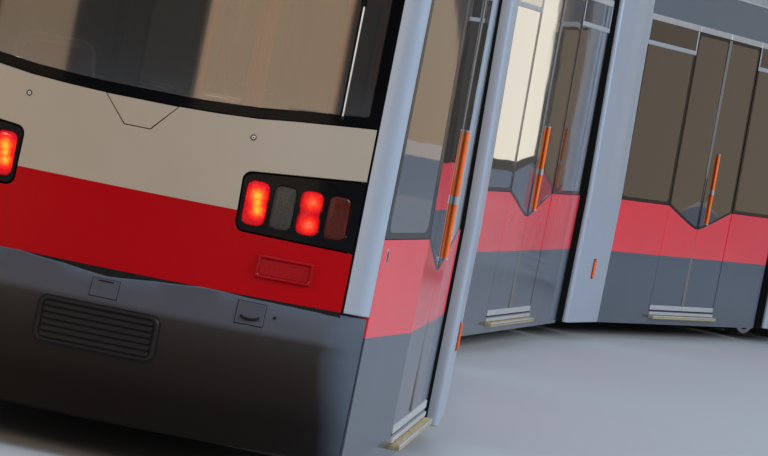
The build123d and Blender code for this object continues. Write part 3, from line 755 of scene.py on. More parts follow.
# ================= seats =================
def cushion(Q, m, o, v, n, w, l, t, taper=0.0):
    """crowned cushion on the face through o: width w along x, length l along v, thickness t along n, sides pulled in between the corners"""
    u = Vector((1, 0, 0))
    rings = []
    for h, d in ((0, .010), (.20, .0015), (.48, 0), (.70, .004), (.86, .015), (.95, .036), (.985, .062), (1.0, .095)):
        ring = []
        for a, b in rrect(-w / 2 + d, w / 2 - d, -l / 2 + d, l / 2 - d, .036 - d * .15, 5):
            pa = (1 - .032 * (1 - (2 * b / l) ** 2)) * (1 - taper * b / l)
            pb = 1 - .022 * (1 - (2 * a / w) ** 2)
            ring.append(tuple(o + u * (a * pa) + v * (b * pb) + n * (t * h)))
        rings.append(ring)
    loft(Q, m, rings)
    # piping along the seam
    seam = rings[2]
    tube(Q, "seat_shell", [Vector(p) for p in seam] + [Vector(seam[0])], .0026, 5, 0)


def driver_seat(P, Q, x, y):
    """high seat with a pale frame, facing the end of the car"""
    back = round_poly([(-.215, .86), (.215, .86), (.205, 1.26), (.150, 1.585), (-.150, 1.585), (-.205, 1.26)], [.03, .03, .10, .055, .055, .10], 6)
    plate(P, "seat_frame", [(x + a, b) for a, b in back], [], lambda u_, v_, d: (u_, y + d + (v_ - .86) * .10, v_), 0, .030, .008)
    tube(P, "seat_frame", [Vector((x + a, y + .010 + (b - .86) * .10, b)) for a, b in back if b > 1.20], .013, 8, 0)
    up, out = Vector((0, .10, 1)).normalized(), Vector((0, -1, .10)).normalized()
    cushion(Q, "seat_red", Vector((x, y + .021, 1.075)), up, out, .375, .40, .050, .06)
    cushion(Q, "seat_red", Vector((x, y + .057, 1.425)), up, out, .255, .26, .045, .12)
    rbox(P, "seat_shell", x - .235, x + .235, y - .46, y + .02, .80, .865, .02)
    cushion(Q, "seat_red", Vector((x, y - .235, .862)), Vector((0, 1, 0)), Vector((0, 0, 1)), .44, .42, .075)
    lathe(P, "dark", [(0, .20), (.02, .20), (.04, .12), (.30, .10), (.44, .13), (.455, .16), (.47, .16)], (x, y - .22, ZF), (0, 0, 1), 24)
    for s_ in (1, -1):
        rbox(P, "dark", x + s_ * .245, x + s_ * .285, y - .36, y - .02, 1.03, 1.075, .012)
        rbox(P, "dark", x + s_ * .250, x + s_ * .275, y - .05, y + .01, .84, 1.05, .008)


def seat(P, Q, x, y, face, w=.44):
    """shell with raised rim on a pedestal into P, two fabric pads into Q"""
    def mp(u, v, d):
        return (x + d, y + face * u, ZF + v)
    shell = round_poly([(-.20, .39), (.20, .375), (.215, .40), (.20, .425), (-.165, .445), (-.235, 1.04), (-.255, 1.075), (-.275, 1.04), (-.215, .44)],
                       [.03, .02, .01, .02, .06, .015, .01, .015, .05], 4)
    plate(P, "seat_shell", shell, [], mp, -w / 2, w / 2, .008)
    def cu(u, v):
        return Vector((x, y + face * u, ZF + v))
    def ax(u, v):
        return Vector((0, face * u, v)).normalized()
    cushion(Q, "seat_red", cu(.014, .4345), ax(-.365, .020), ax(.020, .365), w - .055, .315, .042)
    cushion(Q, "seat_red", cu(-.2003, .745), ax(-.070, .595), ax(.595, .070), w - .065, .47, .034)
    tube(P, "steel", [(x - w / 2 + .05, y - face * .255, ZF + 1.06), (x - w / 2 + .05, y - face * .255, ZF + 1.13), (x + w / 2 - .05, y - face * .255, ZF + 1.13), (x + w / 2 - .05, y - face * .255, ZF + 1.06)], .011, 8, .05)
    loft(P, "dark", [[(x + a * (.075 + k), y + b * (.14 + k), ZF + z) for a, b in ((-1, -1), (1, -1), (1, 1), (-1, 1))] for z, k in ((0, .015), (.012, .015), (.02, -.02), (.33, -.03), (.385, .03))])


# ================= middle sections =================
WINS = ((+1, -LM + .060, -LEAF - .060), (+1, LEAF + .060, LM - .060),
        (-1, -LM + .060, -LM + 1.365), (-1, -LM + 1.435, LM - 1.435), (-1, LM - 1.365, LM - .060))
SEATS = ((-.82, -1.56, 1), (-.375, -1.56, 1), (-.82, -.52, 1), (-.375, -.52, 1), (-.82, .52, -1), (-.375, .52, -1),
         (-.82, 1.56, -1), (-.375, 1.56, -1), (.82, -1.56, 1), (.82, 1.56, -1))


def roof_trim(P, y0, y1, covers=()):
    """drip rail along both eaves, covers on the roof with their screws"""
    for s in (1, -1):
        x = side_x(ZEAVE)
        rbox(P, "alu", s * (x - .020), s * (x + .009), y0 + .02, y1 - .02, ZEAVE - .008, ZEAVE + .006, .003)
    for a, b, w in covers:
        rbox(P, "fairing", -w, w, a, b, ZROOF - .01, ZROOF + .028, .010)
        rbox(P, "fairing", -w + .05, w - .05, a + .05, b - .05, ZROOF + .020, ZROOF + .034, .008)
        for s in (1, -1):
            for t in (a + .03, (a + b) / 2, b - .03):
                lathe(P, "dark", [(0, .010), (.003, .010), (.004, .006)], (s * (w - .025), t, ZROOF + .027), (0, 0, 1), 10)


def end_return(P, s, y0, y1):
    out = [(GW + .03, ZF), (W - TS, ZF), (W - TS, ZRT), (XE - TS, ZEAVE), (GW + .03, ZEAVE)]
    plate(P, "lining", out, [], lambda u, v, d: (s * u, d, v), y0, y1, .002)


def wall(P, s, mp, ya, yb, wins, doors, us=()):
    """one side: lower skin, window band and cantrail. wins are (y0, y1, pane y0, pane y1, hopper), doors are (middle,)"""
    # lower skin with a notch for the door
    pts = [(ya, ZS), (yb, ZS), (yb, ZRT)]
    for yc in sorted(doors, reverse=True):
        pts += [(yc + LEAF + .006, ZRT), (yc + LEAF + .006, ZDB - .004), (yc - LEAF - .006, ZDB - .004), (yc - LEAF - .006, ZRT)]
    pts += [(ya, ZRT)]
    plate(P, "side", pts, [], mp, 0, TS - .006, .003, us=us, vs=(.45,), back="lining")
    # window band: black posts, set back under the bonded panes
    cuts = [ya] + [v for yc in sorted(doors) for v in (yc - LEAF - .006, yc + LEAF + .006)] + [yb]
    for a, b in zip(cuts[::2], cuts[1::2]):
        hs = [rrect(w[0], w[1], ZRT + .028, ZWT - .028, .05, 5) for w in wins if a - .01 < w[0] and w[1] < b + .01]
        if b - a > .01:
            plate(P, "gloss", [(a, ZRT + .001), (b, ZRT + .001), (b, ZWT - .001), (a, ZWT - .001)], hs, mp, .009, TS - .006, .001, us=us, back="lining")
    for w in wins:
        window(P, w[2], w[3], (w[0], w[1], ZRT + .028, ZWT - .028), mp, w[4], us=us)
    plate(P, "cant", [(ya, ZWT), (yb, ZWT), (yb, ZEAVE), (ya, ZEAVE)], [], mp, 0, TS - .006, .003, us=us, back="lining")
    for yc in doors:
        door_surround(P, yc, s, mp)


def interior(P, y0, y1, poles):
    """ceiling light strips, hand rails and upright poles"""
    for x in (-.42, .42):
        rbox(P, M["light_strip"], x - .06, x + .06, y0 + .15, y1 - .15, 2.93, 2.955, .008)
        tube(P, "orange", [(x * 1.25, y0 + .1, 2.14), (x * 1.25, y1 - .1, 2.14)], .016, 8)
        for y in (y0 + .25, (y0 + y1) / 2, y1 - .25):
            tube(P, "steel", [(x * 1.25, y, 2.14), (x * 1.25, y, 2.93)], .011, 8)
    for x, y in poles:
        tube(P, "orange", [(x, y, ZF), (x, y, 2.93)], .017, 10)
        lathe(P, "steel", [(0, .045), (.012, .045), (.02, .02), (.05, .018)], (x, y, ZF), (0, 0, 1), 16)


g_ = Graph("light_strip")
g_.bsdf(Base_Color=(.8, .8, .78), Roughness=.5, Emission_Color=(1, .96, .88), Emission_Strength=3.0)
M["light_strip"] = g_.m


def middle(name):
    P = Piece(name + "_sides_skin")
    for s in (1, -1):
        ws = []
        for sd, a, b in WINS:
            if sd == s:
                lo = -LM + .006 if a < -LM + .1 else a - .032
                hi = LM - .006 if b > LM - .1 else b + .032
                if sd > 0:
                    lo, hi = (lo, -LEAF - .012) if a < 0 else (LEAF + .012, hi)
                ws.append((a, b, lo, hi, 2.27))
        wall(P, s, side_map(s), -LM, LM, ws, (0,) if s > 0 else ())
        for y0, y1 in ((-LM, -LM + .04), (LM - .04, LM)):
            end_return(P, s, y0, y1)
    roof_trim(P, -LM, LM, () if name != "middle_car" else ((-1.9, -1.2, .42), (1.2, 1.9, .42)))
    P.build(name, (name + "_sides", name + "_glass"))
    P = Piece(name + "_door_leaves")
    door(P, 0, 1, side_map(1))
    P.build(name, (name + "_doors",))
    P = Piece(name + "_seating")
    Q = Piece(name + "_seat_pads")
    for r in SEATS:
        seat(P, Q, *r)
    interior(P, -LM, LM, ((.62, -LEAF - .1), (.62, LEAF + .1), (-.12, 0.0), (-.12, -1.04), (-.12, 1.04)))
    P.build(name, (name + "_seats",))
    Q.build(name, (name + "_seats",), sharp=50)
    dress(name + "_floor", "floor")
    dress(name + "_roof", "roof_skin")


# ================= end sections =================
SCREEN = ((0, 1.4275), (.16, 1.4275), (.30, 1.432), (.458, 1.441), (.60, 1.458), (.75, 1.472), (.905, 1.486))


def lower_screen(x):
    x = abs(x)
    for (a, za), (b, zb) in zip(SCREEN, SCREEN[1:]):
        if x <= b:
            t = (x - a) / (b - a)
            return za + (zb - za) * t
    return SCREEN[-1][1]


LX0, LX1 = .443, .9055       # lamp cluster, inner and outer edge
LENSES = ((.508, "a"), (.6135, "b"), (.717, "c"), (.824, "d"))


def lamp_outline(s, gap):
    """cluster outline on side s, made smaller by gap; the outer edge runs to the pillar"""
    p = [(LX0 + .004 + gap, 1.001 + gap), (LX1, .991 + gap), (LX1, 1.275 - gap), (LX0 - .002 + gap, 1.231 - gap)]
    p = round_poly(p, [.034, .004, .004, .034], 6)
    return [(s * x, z) for x, z in p]


def face(name, flip):
    xs = [i * .05 for i in range(-18, 19)]
    P = Piece(name + "_face_panel")
    # panel outline: bottom, right side with the lamp notch, top along the windscreen with the flap notch, left side
    def half(s):
        out = [(s * .9055, ZFACE), (s * .9055, .991 - .003)]
        q = round_poly([(LX0 + .001, .998), (LX1 + .05, .988), (LX1 + .05, 1.279), (LX0 - .005, 1.234)], [.037, 0, 0, .037], 6)
        q = [p for p in q if p[0] < .9]
        # from the lower edge round the inner end to the upper edge
        q = sorted([p for p in q if p[1] < 1.115], key=lambda p: -p[0]) + sorted([p for p in q if p[1] >= 1.115], key=lambda p: p[0])
        out += [(s * x, z) for x, z in q]
        out += [(s * .9055, 1.278), (s * .9055, lower_screen(.905))]
        out += [(s * x, lower_screen(x)) for x in (.86, .8, .75, .7, .65, .6, .55, .5, .458, .4, .35, .3, .25, .2, .15)]
        out += [(s * .1475, lower_screen(.1475)), (s * .0535, 1.3195)]
        return out
    r = half(1)
    l = half(-1)
    outline = r + l[::-1]
    plate(P, "panel", outline, [], face_map, 0, .05, .002, us=xs)
    plate(P, "rubber", [(-.9055, ZFACE - .075), (.9055, ZFACE - .075), (.9055, ZFACE + .003), (-.9055, ZFACE + .003)], [], face_map, .0008, .05, .001, us=xs)
    # dark bed behind the lamp notches
    for k in (1, -1):
        plate(P, "rubber", [(k * (LX0 - .02), .975), (k * .9, .975), (k * .9, 1.295), (k * (LX0 - .02), 1.295)], [], face_map, .0505, .056, .001, us=xs)
    # flap between the notch edges
    flap = [(.1430, 1.4265), (-.1430, 1.4265), (-.0508, 1.3232), (.0508, 1.3232)]
    plate(P, "panel", flap, [], face_map, .0004, .02, .001, us=xs)
    plate(P, "rubber", [(.16, 1.4275), (-.16, 1.4275), (-.06, 1.315), (.06, 1.315)], [], face_map, .012, .05, .001, us=xs)
    # header over the windscreen, with a blank display behind its own pane
    hd = rrect(-.9055, .9055, ZST + .004, ZEAVE, .002, 1)
    win = rrect(-.62, .62, ZST + .05, ZEAVE - .045, .03, 5)
    plate(P, "header", hd, [win], face_map, 0, .05, .002, us=xs)
    plate(P, "screen", win, [], face_map, .004, .008, .0005, us=xs)
    plate(P, "gloss", rrect(-.60, .60, ZST + .06, ZEAVE - .06, .01, 2), [], face_map, .03, .045, .002, us=xs)
    # pillars, rounded in plan
    for s in (1, -1):
        prof = []
        p0, p1, p2 = Vector((.9145, -3.4060)), Vector((.992, -3.389)), Vector((1.0120, -3.3445))
        for i in range(13):
            t = i / 12
            q = p0 * (1 - t) ** 2 + p1 * 2 * t * (1 - t) + p2 * t * t
            prof.append((q.x, q.y))
        back = [(.960, -3.320), (.905, -3.362)]
        rings = []
        for z, k in ((ZFACE, .003), (ZFACE + .003, 0), (ZRT, 0), (2.0, 0), (ZEAVE, 0)):
            ring = [(s * (x - k * .5), y + k, z) for x, y in prof + back]
            rings.append(ring)
        loft(P, "silver", rings)
        # dark joints on both sides of the pillar
        rbox(P, "rubber", s * .895, s * .918, -3.392, -3.340, ZFACE, ZEAVE, .002)
        rbox(P, "rubber", s * .965, s * 1.004, -3.345, -3.325, ZFACE, ZEAVE, .002)
    # two screws, key slot screws low on the band
    for s in (1, -1):
        x, z = s * .45, 1.367
        p = Vector(face_map(x, z, 0))
        n = Vector((x / FR, -sqrt(1 - (x / FR) ** 2), 0))
        lathe(P, "rubber", [(-.001, .012), (.0008, .012)], p, n, 14)
        screw(P, "alu", p, n, .0085)
    # square reflector block on the band
    for s in (1, -1):
        def on_face(px, pz, r, h):
            def fn(u, v, d):
                return face_map(u, v, d)
            return fn
        a, b = sorted((s * .552, s * .771))
        plate(P, M["reflex"], rrect(a, b, .833, .925, .010, 4), [rrect(a + .014, b - .014, .847, .911, .006, 3)], face_map, -.012, .004, .005, us=xs)
        plate(P, M["reflex"], rrect(a + .014, b - .014, .847, .911, .006, 3), [], face_map, -.006, .004, .002, us=xs)
        p = Vector(face_map(s * .80, .765, 0))
        screw(P, "panel", p, (0, -1, 0), .006)
    P.build(name, (name + "_end_face",))

    # lamp clusters
    P = Piece(name + "_lamp_units")
    for s in (1, -1):
        holes = []
        for i, (x, kind) in enumerate(LENSES):
            zc = 1.117
            w, h = .0455, .088
            o = rrect(x - w, x + w, zc - h, zc + h, .030, 6)
            if kind == "c":
                # two cells: points along both long edges, for the waist between them
                o = [q for j, p_ in enumerate(o) for q in ([p_] + ([(p_[0], zc + k) for k in ((-.022, -.010, .010, .022) if o[(j + 1) % len(o)][1] > p_[1] else (.022, .010, -.010, -.022))]
                     if abs(o[(j + 1) % len(o)][1] - p_[1]) > .05 else []))]
            if kind in "ac":
                # a waist on the two-cell lens; the points at the foot are looked up but no notch is cut
                o2 = []
                for px, pz in o:
                    if kind == "c" and abs(pz - zc) < .012:
                        px = x + (px - x) * .90
                    o2.append((px, pz))
                k = [j for j, (px, pz) in enumerate(o2) if pz < zc - h + .001]
                o2 = o2[:]
                if s * 1 and k:
                    mid = max(j for j in k)
                    lo = [p for p in o2]
                    # bottom run goes from left corner to right corner
                    first = min(range(len(lo)), key=lambda j: (abs(lo[j][1] - (zc - h)) > .001, lo[j][0]))
                o = o2
            o = [(s * px, pz) for px, pz in o]
            holes.append(o)
        cover = lamp_outline(s, .003)
        plate(P, "gloss", cover, [inset(h if area(h) < 0 else h[::-1], -.001) for h in holes], face_map, .002, .045, .002, us=xs)
        for (x, kind), h in zip(LENSES, holes):
            zc = 1.117
            if kind == "a":
                at = [(MAT[name] @ Vector(face_map(s * x + dx, zc + dz, .003)), r) for dx, dz, r in ((.000, .030, .050), (.010, -.026, .044), (.006, .004, .040))]
                m = lens(f"{name}_tail_{'r' if s > 0 else 'l'}", (.42, .003, .005), at, 0 if flip else 1.0, (1, .52, .03), dark=.1)
            elif kind == "c":
                at = [(MAT[name] @ Vector(face_map(s * x + dx, zc + dz, .003)), r) for dx, dz, r in ((.004, .044, .050), (.004, -.046, .050))]
                m = lens(f"{name}_stop_{'r' if s > 0 else 'l'}", (.42, .003, .005), at, 0 if flip else .68, (1, .20, .09), dark=.1, mid=(.85, .004, .005))
            elif kind == "b" and flip:
                at = [(MAT[name] @ Vector(face_map(s * x, zc + dz, .003)), .06) for dz in (.03, -.03)]
                m = lens(f"{name}_head_{'r' if s > 0 else 'l'}", (.6, .6, .58), at, 1.1, (1, .97, .88), dark=.1, deep=(.25, .24, .22), mid=(.7, .68, .6))
            else:
                m = M["lamp_off"] if kind == "b" else M["lamp_amber"]
            # domed lens: three steps towards the middle
            o = h if area(h) > 0 else h[::-1]
            rings = []
            for k, d in ((0, .016), (0, .010), (.004, .006), (.014, .0035), (.026, .0025)):
                q = inset(o, k) if k else o
                rings.append([face_map(u, v, d) for u, v in q])
            loft(P, m, rings)
    P.build(name, (name + "_lamps",))

    # windscreen: clear middle, black border
    P = Piece(name + "_windscreen")
    top = ZST
    low = [(x, lower_screen(x) + .004) for x in [i * .05 for i in range(-18, 19)]]
    outer = [(-.9055, lower_screen(.905) + .004)] + low + [(.9055, lower_screen(.905) + .004), (.9055, top), (-.9055, top)]
    inn = [(x, lower_screen(x) + .045) for x in [i * .05 for i in range(-17, 18)]]
    inn = [(-.868, lower_screen(.868) + .048)] + inn + [(.868, lower_screen(.868) + .048), (.868, top - .06), (-.868, top - .06)]
    inn = round_poly(inn, [.03] + [0] * 35 + [.03, .06, .06], 5)
    plate(P, "frit", outer, [inn], face_map, .003, .012, .001, us=xs)
    plate(P, "screen", inn, [], face_map, .0035, .0085, .0003, us=xs)
    # dark bed behind the joint between border and panel
    bed = [-.9055] + [i * .05 for i in range(-18, 19)] + [.9055]
    plate(P, "rubber", [(x, lower_screen(x) + .0008) for x in bed] + [(x, lower_screen(x) + .034) for x in bed[::-1]], [], face_map, .0135, .044, .001, us=xs)
    # wiper at the right pillar, hung from the header, parked upright
    x = .765
    pts = [face_map(.70, 2.44, -.020), face_map(.745, 2.20, -.022), face_map(x, 1.95, -.018)]
    tube(P, "gloss", pts, .007, 8, .05)
    tube(P, "rubber", [face_map(x, 1.50, -.004), face_map(x, 2.36, -.004)], .006, 8)
    tube(P, "alu", [face_map(x, 1.515, -.010), face_map(x, 2.34, -.010)], .0035, 6)
    lathe(P, "gloss", [(0, .026), (.02, .026), (.03, .018), (.034, .008)], face_map(.70, 2.46, 0), (0, -1, 0), 16)
    P.build(name)


def bumper(name):
    P = Piece(name + "_bumper_shell")
    # plan outlines: arc radius from three points, then the corner facet
    def arc(cx, cy, e, n=22):
        """right end (cx, cy) over the middle (0, e) to the left end"""
        h = cy - e
        r = (cx * cx + h * h) / (2 * h)
        c = e + r
        a = atan2(cx, r - h)
        return [(r * sin(a - 2 * a * i / n), c - r * cos(a - 2 * a * i / n)) for i in range(n + 1)]
    tops = ((0, .702), (.2, .721), (.39, .736), (.57, .727), (.92, .722))

    def top_z(x):
        x = abs(x)
        for (a, za), (b, zb) in zip(tops, tops[1:]):
            if x <= b:
                t = (x - a) / (b - a)
                t = t * t * (3 - 2 * t)
                return za + (zb - za) * t + RAIL
        return .722 + RAIL

    def ring(cx, cy, e, xc, yc, z, off=0.0, zf=None):
        pts = [(xc - off, TY + .028)]
        pts += [(xc - off, yc)]
        a = arc(cx - off * .5, cy + off, e + off)
        pts += a
        pts += [(-xc + off, yc), (-xc + off, TY + .028)]
        out = []
        for x, y in pts:
            zz = zf(x) if zf else z
            out.append((x, y, zz))
        return out
    def back(off, z):
        return ring(.872, -3.462, -3.650, 1.004, -3.352, z, off)
    zf = top_z
    rings = [
        back(.070, .200),
        ring(.858, -3.455, -3.631, .990, -3.346, .165, .030),
        ring(.860, -3.460, -3.638, .994, -3.348, .167, .012),
        ring(.862, -3.462, -3.642, .998, -3.350, .176),
        ring(.868, -3.463, -3.646, 1.001, -3.352, .300),
        ring(.872, -3.464, -3.649, 1.003, -3.352, .420),
        ring(.878, -3.463, -3.650, 1.004, -3.352, .560),
        ring(.880, -3.461, -3.650, 1.004, -3.352, .612),
        ring(.886, -3.456, -3.647, 1.004, -3.352, .626),
        ring(.975, -3.374, -3.606, 1.004, -3.351, 0, 0, lambda x: zf(x) - .008),
        ring(.974, -3.372, -3.600, 1.003, -3.350, 0, .002, lambda x: zf(x) - .001),
        ring(.972, -3.370, -3.590, 1.000, -3.348, 0, .010, zf),
        ring(.960, -3.350, -3.560, .985, -3.335, 0, .020, lambda x: zf(x) - .006),
        back(.070, .70),
    ]
    skin = "bumper_" + name
    loft(P, skin, rings, caps=False, closed=False)
    # ribbed pad in a dark surround
    def front(x, z, d):
        h = .186
        r = (.878 ** 2 + h * h) / (2 * h)
        c = -3.650 + r
        return (x, c - sqrt(max((r - d) ** 2 - x * x, 0)), z)
    us = steps(-.25, .25, .06)
    plate(P, "rubber", rrect(-.247, .247, .424, .616, .040, 6), [], front, -.0015, .02, .001, us=us)
    plate(P, "pad", rrect(-.240, .240, .430, .610, .034, 6), [rrect(-.222, .222, .446, .594, .022, 5)], front, -.0088, .01, .006, us=us)
    for i in range(6):
        z0 = .4475 + i * .0247
        plate(P, "pad", rrect(-.221, .221, z0, z0 + .0222, .009, 4), [], front, -.0075, .01, .005, us=us)
    # two small covers on the sloping top, and a plug
    def slope(x, t, d):
        """t from the ridge (0) to the upper edge (1)"""
        r = (.886 ** 2 + .191 * .191) / (2 * .191)
        c = -3.647 + r
        y0, z0 = c - sqrt(r * r - x * x), .626
        r2 = (.975 ** 2 + .232 ** 2) / (2 * .232)
        c2 = -3.606 + r2
        y1, z1 = c2 - sqrt(r2 * r2 - x * x), zf(x) - .008
        n = Vector((0, -(z1 - z0), (y1 - y0))).normalized()
        return (x, y0 + (y1 - y0) * t - n.y * d, z0 + (z1 - z0) * t - n.z * d)
    for x, kind in ((.0, "slot"), (.571, "pull"), (-.571, "pull")):
        plate(P, "rubber", [(x - .056, .16), (x + .056, .16), (x + .056, .92), (x - .056, .92)], [], slope, -.0012, .01, .0005)
        plate(P, skin, [(x - .053, .185), (x + .053, .185), (x + .053, .90), (x - .053, .90)], [], slope, -.0035, .01, .0015)
        if kind == "slot":
            plate(P, "rubber", [(x - .03, .80), (x + .03, .80), (x + .03, .86), (x - .03, .86)], [], slope, -.0045, .0, .0005)
        else:
            p = [slope(x - .034, .44, -.003), slope(x - .030, .38, -.010), slope(x, .33, -.012), slope(x + .030, .38, -.010), slope(x + .034, .44, -.003)]
            tube(P, "rubber", p, .005, 8, .012)
            lathe(P, "rubber", [(0, .007), (.003, .006)], slope(x + (.093 if x > 0 else -.093), .55, 0), (0, -.7, .7), 10)
    P.build(name, (name + "_bumper",), sharp=28)


def end(name, flip):
    dside = -1 if flip else 1
    face(name, flip)
    bumper(name)
    P = Piece(name + "_sides_skin")
    D = Piece(name + "_door_leaves")
    yw0, yw1 = TY + .070, YK - .070
    for s in (1, -1):
        mp = end_map(s)
        us = (YK,)
        ws = [(yw0, yw1, TY + .012, YK - .008, None)]
        if s == dside:
            wall(P, s, mp, TY + .004, -A, ws, (YD,), us=us)
            door(D, YD, s, mp)
        else:
            ws.append((YK + .07, -A - .06, YK + .004, -A - .008, 2.27))
            wall(P, s, mp, TY + .004, -A, ws, (), us=us)
        end_return(P, s, -A - .04, -A)
        # key slot in the tapered panel
        o = []
        for i in range(12):
            a = 2 * pi * i / 12
            o.append((TY + .118 + .0085 * cos(a), 1.000 + .026 * sin(a)))
        plate(P, "hopper", inset(o if area(o) > 0 else o[::-1], -.006), [], mp, -.0010, .003, .0005)
        plate(P, "rubber", o, [], mp, -.0018, .004, .0006)
    roof_trim(P, YK, -A, ((-2.9, -2.1, .48), (-1.8, -1.1, .36)))
    P.build(name, (name + "_sides", name + "_glass"))
    D.build(name, (name + "_doors",))
    # driver's desk, seats
    P = Piece(name + "_cab")
    prof = round_poly([(-3.29, .86), (-2.96, .86), (-2.96, 1.02), (-3.05, 1.075), (-3.24, 1.092), (-3.29, 1.06)], [.01, .03, .03, .03, .02, .02], 4)
    plate(P, "dark", prof, [], lambda u, v, d: (d, u, v), -.72, .72, .01)
    for x in (-.63, .63):
        rbox(P, "seat_shell", x - .07, x + .07, -3.25, -3.00, ZF, .87, .02)
    for x in (-.3, 0, .3):
        rbox(P, "gloss", x - .11, x + .11, -3.17, -3.13, 1.05, 1.20, .01)
    m = -1 if flip else 1
    Q = Piece(name + "_seat_pads")
    driver_seat(P, Q, -.59, -2.42)
    for r in ((-.82 * m, -1.50, -1), (-.375 * m, -1.50, -1)):
        seat(P, Q, *r)
    # cab partition with a glazed door, and rails
    for x0, x1 in ((-1.0, -.36), (.36, 1.0)):
        rbox(P, "lining", x0, x1, -2.24, -2.21, ZF, 1.25, .01)
        rbox(P, M["glass"], x0 + .02, x1 - .02, -2.232, -2.222, 1.25, 2.35, .002)
    for x in (-.36, .36):
        rbox(P, "dark", x - .02, x + .02, -2.25, -2.20, ZF, 2.9, .006)
    rbox(P, "dark", -1.0, 1.0, -2.25, -2.20, 2.33, 2.38, .006)
    interior(P, -3.0, -A, ((.60 * dside, YD + LEAF + .05), (.60 * dside, YD - LEAF + .12), (-.12, -1.2)))
    P.build(name, (name + "_cab_and_seats",))
    Q.build(name, (name + "_cab_and_seats",), sharp=50)
    dress(name + "_floor", "floor")
    dress(name + "_roof", "roof_skin")


# ================= portals =================
def both(half):
    return list(half) + [(-x, z) for x, z in reversed(half[:-1])]


def portal(i):
    unit = f"portal_{i}"
    P = Piece(unit + "_columns")
    zt = ZEAVE + .06
    xt = col_x(zt)
    for s in (1, -1):
        rings, seals = [], ([], [])
        ra, rb = .031, .050            # rear and front edge radius
        for z, k in ((ZCB, .004), (ZCB + .004, 0), (ZRT, 0), (zt, 0)):
            X = col_x(z) - k
            xs_ = X - ra - .006 if (BEND[i - 1] > 0) == (s > 0) else col_x(z) - PROUD + .004
            pts = [(xs_, -C + k)]
            for a in range(7):
                w = pi / 2 * a / 6
                pts.append((X - ra + ra * sin(w), -C + k + ra - ra * cos(w)))
            for a in range(9):
                w = pi / 2 * a / 8
                pts.append((X - rb + rb * cos(w), C - k - rb + rb * sin(w)))
            pts.append((X - rb - .006, C - k))
            pts += [(X - rb - .006, C - .03), (X - .030, C - rb), (X - .030, -C + ra), (xs_, -C + .03)]
            rings.append([(s * x, y, z) for x, y in pts])
            for q, (y0, y1, x1) in enumerate(((-C + .002, -C + .03, xs_), (C - .03, C - .002, X - rb - .006))):
                seals[q].append([(s * x, y, z) for x, y in ((col_x(z) - PROUD - .045, y0), (x1, y0), (x1, y1), (col_x(z) - PROUD - .045, y1))])
        loft(P, "silver", rings)
        for q in seals:
            loft(P, "rubber", q)
        # side marker: lens in a thin dark surround
        mp = lambda y, z, d, s=s: (s * (col_x(z) - d), y, z)
        plate(P, "rubber", rrect(-.036, .036, .466, .614, .012, 4), [], mp, -.002, .01, .001)
        plate(P, "marker", rrect(-.028, .028, .474, .606, .010, 4), [], mp, -.0133, .01, .005)
        # inner wall, cross walls, shelf and drive block
        plate(P, "lining", [(-C, ZF - .055), (C, ZF - .055), (C, zt), (-C, zt)], [], lambda u, v, d, s=s: (s * d, u, v), GW + .030, GW + .060, .002)
        for y0, y1 in ((-C + .001, -C + .04), (C - .04, C - .001)):
            cw = [(GW + .03, ZCB + .03), (W + PROUD - .035, ZCB + .03), (W + PROUD - .035, ZRT), (xt - .035, zt), (GW + .03, zt)]
            plate(P, "rubber", cw, [], lambda u, v, d, s=s: (s * u, d, v), y0, y1, .002)
        rbox(P, "dark", s * (GW + .04), s * (W + PROUD - .04), -C + .02, C - .02, .900, .930, .004)
        rbox(P, "dark", s * (GW + .05), s * (W + PROUD - .10), -.19, .19, .920, 1.66, .02)
        for k in range(12):
            z = 1.0 + k * .05
            rbox(P, "dark", s * (GW + .048), s * (W + PROUD - .09), -.20, .20, z, z + .012, .003)
        lathe(P, "cast", [(0, .062), (.05, .062), (.056, .052), (.064, .052)], (s * (GW + .04), 0, RAIL + R_TREAD), (s, 0, 0), 24)
    # passage floor with its two round plates, ceiling
    plate(P, "floor", rrect(-GW - .04, GW + .04, -C, C, .001, 1), [], lambda u, v, d: (u, v, ZF - d), 0, .055, .001)
    for q in (-1, 1):
        lathe(P, "floor", [(0, .418), (.052, .418), (.055, .414)], (0, q * H, ZF - .055), (0, 0, 1), 48)
        lathe(P, "alu", [(0, .421), (.002, .421), (.0025, .419), (.0025, .403), (.002, .402), (0, .402)], (0, q * H, ZF - .0005), (0, 0, 1), 48)
    rbox(P, "dark", -GW - .04, GW + .04, -.09, .09, ZF - .105, ZF - .05, .006)
    rbox(P, "ceiling", -GW - .05, GW + .05, -C, C, ZGW + .06, ZGW + .11, .004)
    tube(P, "orange", [(GW - .03, -.30, 1.15), (GW - .03, .30, 1.15)], .016, 10)
    tube(P, "orange", [(-GW + .03, -.30, 1.15), (-GW + .03, .30, 1.15)], .016, 10)
    # roof cap over the columns
    o = both(((xt, zt), (xt - .005, zt + .04), (xt - .02, zt + .08), (xt - .05, zt + .125), (xt - .085, zt + .16), (xt - .14, zt + .19), (xt - .21, ZROOF - .040), (xt - .32, ZROOF - .018), (xt - .44, ZROOF - .002), (0, ZROOF + .004)))
    n = both(((xt - .060, zt), (xt - .070, zt + .060), (xt - .125, zt + .125), (xt - .235, ZROOF - .085), (0, ZROOF - .052)))
    loop = o + n[::-1]
    plate(P, "roof", loop, [], lambda u, v, d: (u, d, v), -C, C, .004)
    for y in (-C + .03, C - .06):
        oo = [(x * .998, z + .006) for x, z in o]
        plate(P, "alu", o[1:-1] + [(x, z + .004) for x, z in o[1:-1]][::-1], [], lambda u, v, d: (u, d, v), y, y + .03, .001)
    P.build(unit, (unit + "_frame",), sharp=35)
    bellows(i)
    wheels(i)


